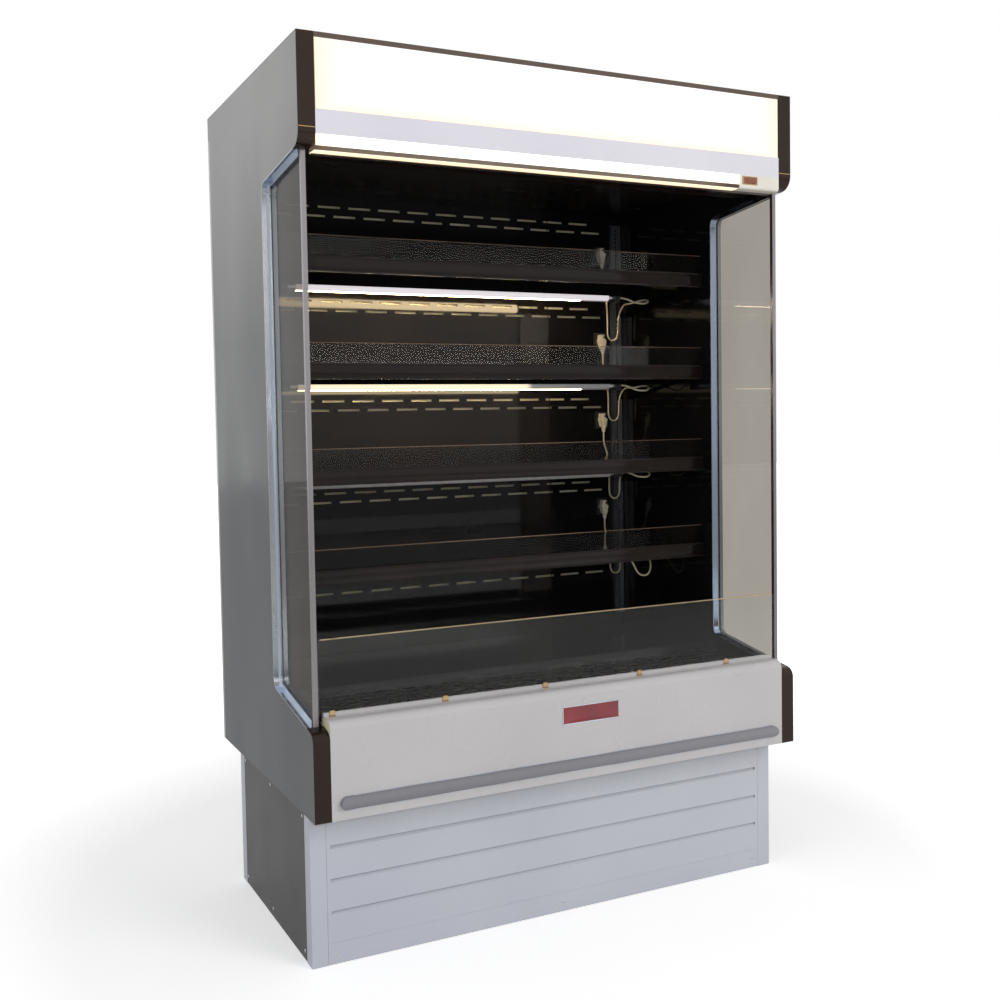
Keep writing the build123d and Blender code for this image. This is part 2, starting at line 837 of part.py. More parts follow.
# Pan that catches and evaporates the melt water
with BuildPart() as condensate_pan:
    pan_xs = (drain_pan_left_x, drain_pan_left_x + drain_pan_length)
    pan_ys = (base_rear_y - rail_width - drain_pan_depth, base_rear_y - rail_width)
    slab(pan_xs, pan_ys, (condenser_floor_z, condenser_floor_z + drain_pan_height))
    slab(
        (pan_xs[0] + drain_pan_wall, pan_xs[1] - drain_pan_wall),
        (pan_ys[0] + drain_pan_wall, pan_ys[1] - drain_pan_wall),
        (condenser_floor_z + drain_pan_wall, condenser_floor_z + drain_pan_height + 1),
        Mode.SUBTRACT,
    )
keep(condensate_pan, "condensate_pan")

# Base frame: four corner posts, eight rails and the floor sheet
with BuildPart() as base_frame:
    rail_zs = ((0, rail_height, 0), (base_height - rail_height, base_height, base_height - frame_gauge))
    for y_face, inward, sheet in ((base_front_y, 1, louvre_gauge), (base_rear_y, -1, louvre_gauge)):
        for side in (-1, 1):
            x_face = side * base_half
            slab(
                (x_face, x_face - side * post_width),
                (y_face, y_face + inward * frame_gauge),
                (0, base_height),
            )
            slab(
                (x_face, x_face - side * frame_gauge),
                (y_face, y_face + inward * post_width),
                (0, base_height),
            )
        rail_y = y_face + inward * sheet
        for low_z, high_z, flange_z in rail_zs:
            rail_xs = (-base_half + side_sheet, base_half - side_sheet)
            slab(rail_xs, (rail_y, rail_y + inward * frame_gauge), (low_z, high_z))
            slab(rail_xs, (rail_y, rail_y + inward * rail_width), (flange_z, flange_z + frame_gauge))
    for side in (-1, 1):
        rail_x = side * (base_half - side_sheet)
        rail_ys = (base_front_y + louvre_gauge, base_rear_y - louvre_gauge)
        for low_z, high_z, flange_z in rail_zs:
            slab((rail_x, rail_x - side * frame_gauge), rail_ys, (low_z, high_z))
            slab((rail_x, rail_x - side * rail_width), rail_ys, (flange_z, flange_z + frame_gauge))
    slab(
        (-base_half + side_sheet, base_half - side_sheet),
        (base_front_y + louvre_gauge, base_rear_y - louvre_gauge),
        (rail_height - floor_sheet, rail_height),
    )
    with Locations(
        Location((supply_hole_x, base_rear_y, base_height - rail_height / 2), (90, 0, 0))
    ):
        Cylinder(supply_hole_radius, 4 * frame_gauge, mode=Mode.SUBTRACT)
keep(base_frame, "base_frame")

with BuildPart() as base_side_panels:
    slab(
        (base_half - side_sheet, base_half),
        (base_front_y + post_width, base_rear_y - post_width),
        (louvre_end_gap, base_height - louvre_end_gap),
    )
    mirror(about=Plane.YZ)
keep(base_side_panels, "base_side_panels")

# Louvred panel: three long slits, each with a baffle rising behind it
with BuildPart() as louvre_panel:
    louvre_half = base_half - post_width - louvre_side_gap
    louvre_rear_y = base_front_y + louvre_gauge
    slab(
        (-louvre_half, louvre_half),
        (base_front_y, louvre_rear_y),
        (louvre_end_gap, base_height - louvre_end_gap),
    )
    for slit_z in louvre_heights:
        low_z = slit_z - slit_height / 2
        slab(
            (-louvre_half + slit_margin, louvre_half - slit_margin),
            (base_front_y - 1, louvre_rear_y + 1),
            (low_z, low_z + slit_height),
            Mode.SUBTRACT,
        )
        with BuildSketch(Plane.YZ.offset(-louvre_half + slit_margin)):
            with BuildLine():
                Polyline(
                    (base_front_y + louvre_gauge / 2, low_z - louvre_gauge),
                    (louvre_rear_y, low_z - louvre_gauge),
                    (louvre_rear_y + baffle_depth, low_z + baffle_rise),
                    (louvre_rear_y + baffle_depth - louvre_gauge, low_z + baffle_rise),
                    (base_front_y + louvre_gauge / 2, low_z),
                    close=True,
                )
            make_face()
        extrude(amount=2 * (louvre_half - slit_margin))
    slab(
        (-louvre_half - 1, louvre_half + 1),
        (base_front_y - 1, base_front_y + crease_depth),
        (kick_crease_z, kick_crease_z + crease_size),
        Mode.SUBTRACT,
    )
keep(louvre_panel, "louvre_panel")

# Half-round bumper rail with rounded ends
with BuildPart() as bumper_rail:
    bumper_z = bumper_low_z + bumper_height / 2
    with BuildSketch(Plane.YZ.offset(-bumper_length / 2)):
        with Locations((lower_front_y, bumper_z)):
            Ellipse(bumper_proud, bumper_height / 2)
        patch((lower_front_y, rear_y), (0, case_height), Mode.SUBTRACT)
    extrude(amount=bumper_length)
    with BuildSketch(Plane.XZ.offset(-lower_front_y)):
        with Locations((0, bumper_z)):
            SlotOverall(bumper_length, bumper_height)
    extrude(amount=bumper_proud, mode=Mode.INTERSECT)
keep(bumper_rail, "bumper_rail")

# Canopy box behind the sign: rear wall, top, ledges, and the band under the sign
with BuildPart() as canopy_box:
    box_top_z = case_height - skin_gauge
    band_rear_y = upper_front_y + canopy_gauge
    with BuildSketch(Plane.YZ.offset(-inside_half)):
        patch((canopy_rear_y - canopy_gauge, canopy_rear_y), (lens_low_z - canopy_gauge, box_top_z))
        patch((upper_front_y + skin_gauge, canopy_rear_y), (box_top_z - canopy_gauge, box_top_z))
        patch((canopy_rear_y - canopy_ledge, canopy_rear_y), (lens_low_z - canopy_gauge, lens_low_z))
        patch(
            (canopy_rear_y - canopy_gauge, canopy_rear_y + discharge_ledge),
            (discharge_low_z - canopy_gauge, discharge_low_z),
        )
        patch((upper_front_y, band_rear_y), (band_low_z, sign_low_z))
    extrude(amount=2 * inside_half)
    for side in (-1, 1):
        slab(
            (side * inside_half, side * (inside_half - gusset_width)),
            (upper_front_y, canopy_rear_y),
            (band_low_z, sign_low_z - sign_tuck),
        )
keep(canopy_box, "canopy_box")

with BuildPart() as sign_panel:
    slab(
        (-inside_half + deck_side_gap, inside_half - deck_side_gap),
        (band_rear_y, band_rear_y + sign_thickness),
        (sign_low_z - sign_tuck, case_height - sign_top_gap),
    )
keep(sign_panel, "sign_panel")


# Side outline shared by the lens and the switch plate: a face that turns under
def lens_outline(gauge, radius):
    lens_rear_y = canopy_rear_y - canopy_gauge
    with BuildSketch() as block:
        patch((upper_front_y, lens_rear_y), (lens_low_z, band_low_z))
        fillet(nearest(block, upper_front_y, lens_low_z), radius)
    with BuildSketch() as outline:
        add(block.sketch)
        offset(block.sketch, amount=-gauge, kind=Kind.INTERSECTION, mode=Mode.SUBTRACT)
        patch((upper_front_y + gauge, lens_rear_y), (lens_low_z + gauge, band_low_z), Mode.SUBTRACT)
        patch((lens_rear_y - gauge, lens_rear_y), (lens_low_z, band_low_z), Mode.SUBTRACT)
    return outline.sketch


with BuildPart() as canopy_lens:
    with BuildSketch(Plane.YZ.offset(-inside_half)):
        add(lens_outline(lens_gauge, lens_round))
    extrude(amount=inside_half + switch_plate_start - seat_clearance)
keep(canopy_lens, "canopy_lens")

# Plate at the right end of the lens, with the switch opening and two pivot ears
rocker_pivot_y = upper_front_y + rocker_pivot_depth
with BuildPart() as switch_plate:
    with BuildSketch(Plane.YZ.offset(switch_plate_start)):
        add(lens_outline(lens_gauge, switch_plate_round))
    extrude(amount=inside_half - switch_plate_start)
    open_half = rocker_half_length + rocker_gap_end
    open_rise = rocker_height / 2 + rocker_gap_side
    slab(
        (switch_x - open_half, switch_x + open_half),
        (upper_front_y - 1, upper_front_y + lens_gauge + 1),
        (switch_z - open_rise, switch_z + open_rise),
        Mode.SUBTRACT,
    )
    for side in (-1, 1):
        ear_z = switch_z + side * (open_rise + ear_gap)
        slab(
            (switch_x - ear_half_width, switch_x + ear_half_width),
            (upper_front_y + lens_gauge / 2, rocker_pivot_y + ear_half_width),
            (ear_z, ear_z + side * ear_thickness),
        )
    with Locations((switch_x, rocker_pivot_y, switch_z)):
        Cylinder(
            pin_radius + pin_clearance,
            2 * (open_rise + ear_gap + ear_thickness + 1),
            mode=Mode.SUBTRACT,
        )
keep(switch_plate, "switch_plate")

# Rocker, at rest tipped to one side about its upright pin
with BuildPart() as switch_rocker:
    rocker_plane = Plane((switch_x, rocker_pivot_y, switch_z - rocker_height / 2)).rotated(
        (0, 0, -rocker_tilt)
    )
    with BuildSketch(rocker_plane):
        with BuildLine():
            Polyline(
                (-rocker_half_length, -rocker_depth),
                (0, -rocker_depth + rocker_dish),
                (rocker_half_length, -rocker_depth),
                (rocker_half_length, 0),
                (ear_half_width, ear_half_width),
                (-ear_half_width, ear_half_width),
                (-rocker_half_length, 0),
                close=True,
            )
        make_face()
    extrude(amount=rocker_height)
    with Locations((switch_x, rocker_pivot_y, switch_z)):
        Cylinder(pin_radius, rocker_height + 2 * (rocker_gap_side + ear_gap + ear_thickness))
keep(switch_rocker, "switch_rocker")

# Two lamps in the canopy, each in a pair of holders
with BuildPart() as canopy_lamps:
    lamp_y = canopy_rear_y - canopy_gauge - canopy_holder / 2
    for tube_z in [case_height - drop for drop in canopy_lamp_drops]:
        with Locations(Location((0, lamp_y, tube_z), (0, 90, 0))):
            Cylinder(canopy_lamp_radius, 2 * canopy_lamp_half)
        for side in (-1, 1):
            with Locations((side * (canopy_lamp_half + holder_length / 2), lamp_y, tube_z)):
                Box(holder_length, canopy_holder, canopy_holder)
keep(canopy_lamps, "canopy_lamps")

# Shelves with welded brackets, and what each one carries
for number, shelf_z in enumerate(shelf_tops, start=1):
    pivot_z = shelf_z - hook_drop
    lug_z = pivot_z - lug_slots_down * slot_pitch
    bracket_y = upright_face_y - seat_clearance
    behind_y = upright_face_y + upright_gauge + lip_gap

    with BuildPart() as shelf:
        shelf_xs = (-shelf_half, shelf_half)
        slab(shelf_xs, (shelf_fold_y, shelf_rear_y), (shelf_z - shelf_gauge, shelf_z))
        slab(shelf_xs, (shelf_fold_y, shelf_fold_y + shelf_gauge), (shelf_z - shelf_front_fold, shelf_z))
        slab(shelf_xs, (shelf_rear_y - shelf_gauge, shelf_rear_y), (shelf_z - shelf_rear_fold, shelf_z))
        shield_y = shelf_front_y + lamp_setback - shield_gap
        slab(
            (lamp_left_x - holder_length, lamp_right_x + holder_length),
            (shield_y, shield_y + shield_gauge),
            (shelf_z - shield_height, shelf_z),
        )
        for side in (-1, 1):
            slab(
                (side * shelf_half, side * (shelf_half - shelf_gauge)),
                (shelf_fold_y, shelf_rear_y),
                (shelf_z - shelf_side_fold, shelf_z),
            )
            with BuildSketch(Plane.YZ.offset(side * upright_x - bracket_thickness / 2)):
                with BuildLine():
                    Polyline(
                        (shelf_front_y + bracket_front_gap, shelf_z - shelf_gauge / 2),
                        (shelf_rear_y - shelf_gauge, shelf_z - shelf_gauge / 2),
                        (bracket_y, pivot_z + seat_clearance + tongue_height),
                        (behind_y + tongue_length, pivot_z + seat_clearance + tongue_height),
                        (behind_y + tongue_length, pivot_z - lip_drop),
                        (behind_y, pivot_z - lip_drop),
                        (behind_y, pivot_z + seat_clearance),
                        (bracket_y, pivot_z + seat_clearance),
                        (bracket_y, lug_z + seat_clearance + lug_height),
                        (behind_y + lip_gap, lug_z + seat_clearance + lug_height),
                        (behind_y + lip_gap, lug_z + seat_clearance),
                        (bracket_y, lug_z + seat_clearance),
                        (bracket_y, shelf_z - bracket_height),
                        (bracket_y - bracket_height / 3, shelf_z - bracket_height),
                        (shelf_front_y + bracket_front_gap, shelf_z - bracket_nose),
                        close=True,
                    )
                make_face()
            extrude(amount=bracket_thickness)
    keep(shelf, f"shelf_{number}")

    with BuildPart() as price_rail:
        rail_top_z = shelf_z + price_rail_rise
        with BuildSketch(Plane.YZ.offset(-shelf_half - price_rail_overhang)):
            patch((shelf_front_y, shelf_fold_y), (rail_top_z - price_rail_height, rail_top_z))
            patch(
                (shelf_front_y, shelf_fold_y - price_rail_gauge),
                (rail_top_z - price_rail_height + price_rail_gauge, rail_top_z - price_rail_gauge),
                Mode.SUBTRACT,
            )
            patch(
                (shelf_front_y, shelf_front_y + price_rail_gauge),
                (rail_top_z - 3 * price_rail_gauge, rail_top_z),
            )
            patch(
                (shelf_front_y, shelf_front_y + price_rail_gauge),
                (rail_top_z - price_rail_height, rail_top_z - price_rail_height + 3 * price_rail_gauge),
            )
        extrude(amount=2 * (shelf_half + price_rail_overhang))
    keep(price_rail, f"shelf_{number}_price_rail")

    with BuildPart() as front_stop:
        stop_y = shelf_fold_y + shelf_gauge
        slab((-shelf_half, shelf_half), (stop_y, stop_y + stop_thickness), (shelf_z, shelf_z + stop_height))
        slab(
            (-shelf_half, shelf_half),
            (stop_y, stop_y + stop_foot),
            (shelf_z, shelf_z + stop_thickness / 2),
        )
    keep(front_stop, f"shelf_{number}_front_stop")

    with BuildPart() as shelf_lamp:
        tube_y = shelf_front_y + lamp_setback
        tube_z = shelf_z - lamp_drop
        with Locations(Location((lamp_left_x, tube_y, tube_z), (0, 90, 0))):
            Cylinder(
                lamp_radius,
                lamp_right_x - lamp_left_x,
                align=(Align.CENTER, Align.CENTER, Align.MIN),
            )
        for holder_x in (lamp_left_x - holder_length, lamp_right_x):
            slab(
                (holder_x, holder_x + holder_length),
                (tube_y - holder_width / 2, tube_y + holder_width / 2),
                (tube_z - holder_below, shelf_z - shelf_gauge),
            )
    keep(shelf_lamp, f"shelf_{number}_lamp")

# Sockets on the rear liner and the plugs in them
plug_heights = [top + rise for top, rise in zip(shelf_tops, plug_rises)]
with BuildPart() as lamp_sockets:
    for plug_z in plug_heights:
        slab(
            (socket_x - socket_width / 2, socket_x + socket_width / 2),
            (liner_y - socket_depth, liner_y),
            (plug_z - socket_height / 2, plug_z + socket_height / 2),
        )
    fillet(lamp_sockets.edges().filter_by(Axis.Y), 4)
keep(lamp_sockets, "lamp_sockets")

with BuildPart() as lamp_plugs:
    plug_face_y = liner_y - socket_depth
    for plug_z in plug_heights:
        slab(
            (socket_x - plug_width / 2, socket_x + plug_width / 2),
            (plug_face_y - plug_depth, plug_face_y),
            (plug_z - plug_height / 2, plug_z + plug_height / 2),
        )
    fillet(lamp_plugs.edges().filter_by(Axis.Z), 5)
    for plug_z in plug_heights:
        with Locations((socket_x, plug_face_y - plug_depth / 2, plug_z - plug_height / 2)):
            Cone(
                lead_diameter * 0.8,
                relief_wide_radius,
                relief_length,
                align=(Align.CENTER, Align.CENTER, Align.MAX),
            )
keep(lamp_plugs, "lamp_plugs")

# Limp lead of each lamp: sags to the bracket, runs back along it, hangs in a loop
# beside the upright and climbs behind the shelf to its plug
for number, (shelf_z, plug_z, sag, loop) in enumerate(
    zip(shelf_tops, plug_heights, lead_sags, lead_loops), start=1
):
    start_x = lamp_right_x + holder_length
    start_y = shelf_front_y + lamp_setback
    start_z = shelf_z - lamp_drop
    strand_x = upright_x - 10
    strand_y = upright_face_y - 22.5
    wall_x = upright_x - 31
    wall_y = liner_y - 7.5
    turn_z = shelf_z - loop + 66
    relief_z = plug_z - plug_height / 2 - relief_length
    plug_y = plug_face_y - plug_depth / 2
    route = [
        (start_x, start_y, start_z),
        (start_x + 18, start_y, start_z),
        (start_x + 38, start_y - 5, start_z - 0.45 * (sag - lamp_drop)),
        (start_x + 50, start_y - 15, shelf_z - sag),
        (start_x + 80, start_y - 25, shelf_z - sag - 2),
        (strand_x - 2, start_y - 13, shelf_z - 22 - 0.5 * sag),
        (strand_x + 2, start_y + 27, shelf_z - 47),
        (strand_x - 3, start_y + 82, shelf_z - 53),
        (strand_x + 1, strand_y - 28, shelf_z - 50),
        (strand_x, strand_y, turn_z),
        (strand_x, strand_y, shelf_z - loop),
        (wall_x, wall_y, shelf_z - loop),
        (wall_x + 1, wall_y, turn_z - 4),
        (wall_x - 1, wall_y, (turn_z - 4 + relief_z - 66) / 2),
        (wall_x - 5, wall_y, relief_z - 66),
        (socket_x + 6, plug_y + 10, relief_z - 34),
        (socket_x, plug_y, relief_z - 14),
        (socket_x, plug_y, relief_z),
    ]
    corners = [Vector(*point) for point in route]
    runs = [after - before for before, after in zip(corners, corners[1:])]
    radii = [
        0.45 * min(run.length, after.length) / math.tan(math.radians(run.get_angle(after)) / 2)
        for run, after in zip(runs, runs[1:])
    ]
    with BuildPart() as lamp_lead:
        with BuildLine() as lead_line:
            FilletPolyline(*corners, radius=radii)
        with BuildSketch(lead_line.line ^ 0):
            Circle(lead_diameter / 2)
        sweep()
    keep(lamp_lead, f"shelf_{number}_lamp_lead")
    tightest = min(radii) / lead_diameter
    section = math.pi * lead_diameter**2 / 4
    length = lead_line.wire().length
    ratio = lamp_lead.part.volume / (section * length)
    print(f"lead {number}: length {length:.0f} tightest bend {tightest:.1f} volume {ratio:.3f}")
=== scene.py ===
import math
import bmesh
import bpy
from mathutils import Matrix, Vector


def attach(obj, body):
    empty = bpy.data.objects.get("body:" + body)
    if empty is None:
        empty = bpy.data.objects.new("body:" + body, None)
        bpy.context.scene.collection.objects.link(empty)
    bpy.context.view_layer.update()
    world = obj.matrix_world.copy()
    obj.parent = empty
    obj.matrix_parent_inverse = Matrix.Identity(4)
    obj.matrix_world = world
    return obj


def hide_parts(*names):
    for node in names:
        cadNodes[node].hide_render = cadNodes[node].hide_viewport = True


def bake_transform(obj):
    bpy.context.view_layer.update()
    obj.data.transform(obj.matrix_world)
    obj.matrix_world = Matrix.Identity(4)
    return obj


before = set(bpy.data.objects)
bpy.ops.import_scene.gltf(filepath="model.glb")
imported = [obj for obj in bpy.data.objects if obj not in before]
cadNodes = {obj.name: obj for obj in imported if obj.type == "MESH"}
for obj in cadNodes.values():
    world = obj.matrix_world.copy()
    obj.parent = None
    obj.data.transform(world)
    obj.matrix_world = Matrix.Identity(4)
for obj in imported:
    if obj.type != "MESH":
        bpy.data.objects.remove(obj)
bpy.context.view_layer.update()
mm = 0.001
print("frame loaded")


# camera at the photograph's place
cameraSetup = {
    "place": (-1.38546, -2.74040, 1.20226),
    "yaw": 0.462429,
    "pitch": -0.048386,
    "roll": -0.016405,
    "lens": 42.126,
    "shiftX": 0.00682,
    "shiftY": -0.0249,
}


def aimCamera(setup):
    yaw, pitch, roll = setup["yaw"], setup["pitch"], setup["roll"]
    forward = Vector((math.sin(yaw) * math.cos(pitch), math.cos(yaw) * math.cos(pitch), math.sin(pitch)))
    right = Vector((math.cos(yaw), -math.sin(yaw), 0))
    up = right.cross(forward)
    tiltedRight = right * math.cos(roll) + up * math.sin(roll)
    tiltedUp = up * math.cos(roll) - right * math.sin(roll)
    turn = Matrix((tiltedRight, tiltedUp, -forward)).transposed().to_4x4()
    cameraData = bpy.data.cameras.new("shopCamera")
    cameraData.lens = setup["lens"]
    cameraData.sensor_width = 36
    cameraData.shift_x = setup["shiftX"]
    cameraData.shift_y = setup["shiftY"]
    shopCamera = bpy.data.objects.new("shopCamera", cameraData)
    bpy.context.scene.collection.objects.link(shopCamera)
    shopCamera.matrix_world = Matrix.Translation(Vector(setup["place"])) @ turn
    bpy.context.scene.camera = shopCamera


aimCamera(cameraSetup)
bpy.context.scene.view_settings.view_transform = "Standard"


# small helpers for modelling with operators
def deselectAll():
    if bpy.context.object and bpy.context.object.mode != "OBJECT":
        bpy.ops.object.mode_set(mode="OBJECT")
    bpy.ops.object.select_all(action="DESELECT")


def activate(piece):
    deselectAll()
    piece.select_set(True)
    bpy.context.view_layer.objects.active = piece


def startBox(name, low, high):
    deselectAll()
    low, high = Vector(low) * mm, Vector(high) * mm
    bpy.ops.mesh.primitive_cube_add(size=1, location=(low + high) / 2)
    piece = bpy.context.object
    piece.name = piece.data.name = name
    piece.scale = high - low
    bpy.ops.object.transform_apply(location=True, rotation=True, scale=True)
    return piece


def startRound(name, centre, radius, depth, axis, sides):
    deselectAll()
    turns = {"X": (0, math.pi / 2, 0), "Y": (math.pi / 2, 0, 0), "Z": (0, 0, 0)}
    bpy.ops.mesh.primitive_cylinder_add(
        vertices=sides, radius=radius * mm, depth=depth * mm,
        location=Vector(centre) * mm, rotation=turns[axis],
    )
    piece = bpy.context.object
    piece.name = piece.data.name = name
    bpy.ops.object.transform_apply(location=True, rotation=True, scale=True)
    return piece


def pickFaces(piece, wanted):
    activate(piece)
    bpy.ops.object.mode_set(mode="EDIT")
    bpy.ops.mesh.select_mode(type="FACE")
    bpy.ops.mesh.select_all(action="DESELECT")
    editMesh = bmesh.from_edit_mesh(piece.data)
    for face in editMesh.faces:
        if wanted(face.calc_center_median() / mm, face.normal):
            face.select_set(True)
    bmesh.update_edit_mesh(piece.data)


def insetPicked(thickness, depth=0.0):
    bpy.ops.mesh.inset(thickness=thickness * mm, depth=depth * mm)


def extrudePicked(move):
    bpy.ops.mesh.extrude_region_move(TRANSFORM_OT_translate={"value": Vector(move) * mm})


def shrinkPicked(factor, centre):
    bpy.ops.transform.resize(value=factor, center_override=tuple(Vector(centre) * mm))


def roundEdges(piece, width, segments, angle=35):
    activate(piece)
    bpy.ops.object.modifier_add(type="BEVEL")
    bevel = piece.modifiers[-1]
    bevel.width = width * mm
    bevel.segments = segments
    bevel.limit_method = "ANGLE"
    bevel.angle_limit = math.radians(angle)
    bpy.ops.object.modifier_apply(modifier=bevel.name)


def cutAway(piece, cutter):
    activate(piece)
    bpy.ops.object.modifier_add(type="BOOLEAN")
    cut = piece.modifiers[-1]
    cut.operation = "DIFFERENCE"
    cut.object = cutter
    bpy.ops.object.modifier_apply(modifier=cut.name)
    bpy.data.objects.remove(cutter)


def smoothByAngle(piece, angle=35):
    activate(piece)
    bpy.ops.object.shade_smooth_by_angle(angle=math.radians(angle))


def copyMoved(piece, name, move, turn=None):
    copied = bpy.data.objects.new(name, piece.data.copy())
    copied.data.name = name
    bpy.context.scene.collection.objects.link(copied)
    if turn:
        copied.data.transform(turn)
    copied.data.transform(Matrix.Translation(Vector(move) * mm))
    return copied


def joinPieces(pieces, name):
    deselectAll()
    for piece in pieces:
        piece.select_set(True)
    bpy.context.view_layer.objects.active = pieces[0]
    bpy.ops.object.join()
    joined = bpy.context.object
    joined.name = joined.data.name = name
    return joined


def dress(piece, body, slotName, finish):
    piece.data.materials.clear()
    piece.data.materials.append(finish)
    if body:
        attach(piece, body)


# finishes
def startFinish(name):
    finish = bpy.data.materials.new(name)
    finish.use_nodes = True
    tree = finish.node_tree
    place = tree.nodes.new("ShaderNodeTexCoord")
    return finish, tree, tree.nodes["Principled BSDF"], place.outputs["Object"]


def addNoise(tree, place, scale, detail, stretch=None):
    if stretch:
        mapping = tree.nodes.new("ShaderNodeMapping")
        mapping.inputs["Scale"].default_value = stretch
        tree.links.new(place, mapping.inputs["Vector"])
        place = mapping.outputs["Vector"]
    noise = tree.nodes.new("ShaderNodeTexNoise")
    noise.inputs["Scale"].default_value = scale
    noise.inputs["Detail"].default_value = detail
    tree.links.new(place, noise.inputs["Vector"])
    return noise.outputs["Fac"]


def addRange(tree, value, low, high, fromLow=0.3, fromHigh=0.7):
    spread = tree.nodes.new("ShaderNodeMapRange")
    spread.inputs["From Min"].default_value = fromLow
    spread.inputs["From Max"].default_value = fromHigh
    spread.inputs["To Min"].default_value = low
    spread.inputs["To Max"].default_value = high
    tree.links.new(value, spread.inputs["Value"])
    return spread.outputs["Result"]


def addMix(tree, factor, first, second):
    mix = tree.nodes.new("ShaderNodeMix")
    mix.data_type = "RGBA"
    for colour, socket in ((first, mix.inputs[6]), (second, mix.inputs[7])):
        if isinstance(colour, tuple):
            socket.default_value = (*colour[:3], 1)
        else:
            tree.links.new(colour, socket)
    tree.links.new(factor, mix.inputs[0])
    return mix.outputs[2]


def addBump(tree, shader, height, strength, distance=0.001):
    bump = tree.nodes.new("ShaderNodeBump")
    bump.inputs["Strength"].default_value = strength
    bump.inputs["Distance"].default_value = distance
    tree.links.new(height, bump.inputs["Height"])
    tree.links.new(bump.outputs["Normal"], shader.inputs["Normal"])


def addMath(tree, operation, *values):
    step = tree.nodes.new("ShaderNodeMath")
    step.operation = operation
    for value, socket in zip(values, step.inputs):
        tree.links.new(value, socket)
    return step.outputs[0]


def splitPlace(tree, place):
    split = tree.nodes.new("ShaderNodeSeparateXYZ")
    tree.links.new(place, split.inputs["Vector"])
    return split.outputs


def makeSheetFinish(name, look):
    finish, tree, shader, place = startFinish(name)
    patches = addNoise(tree, place, look["patchScale"], 4.0, look.get("stretch"))
    tint = addMix(tree, addRange(tree, patches, 0.0, 1.0), look["colour"], look["shade"])
    tree.links.new(tint, shader.inputs["Base Color"])
    smears = addNoise(tree, place, look["patchScale"] * 2.7, 2.0, look.get("stretch"))
    tree.links.new(addRange(tree, smears, *look["rough"]), shader.inputs["Roughness"])
    grain = addNoise(tree, place, look["grainScale"], 2.0, look.get("stretch"))
    addBump(tree, shader, grain, look["bump"])
    shader.inputs["Metallic"].default_value = look.get("metallic", 0.0)
    shader.inputs["Specular IOR Level"].default_value = look.get("specular", 0.5)
    if look.get("coat"):
        shader.inputs["Coat Weight"].default_value = look["coat"]
        shader.inputs["Coat Roughness"].default_value = 0.06
    return finish


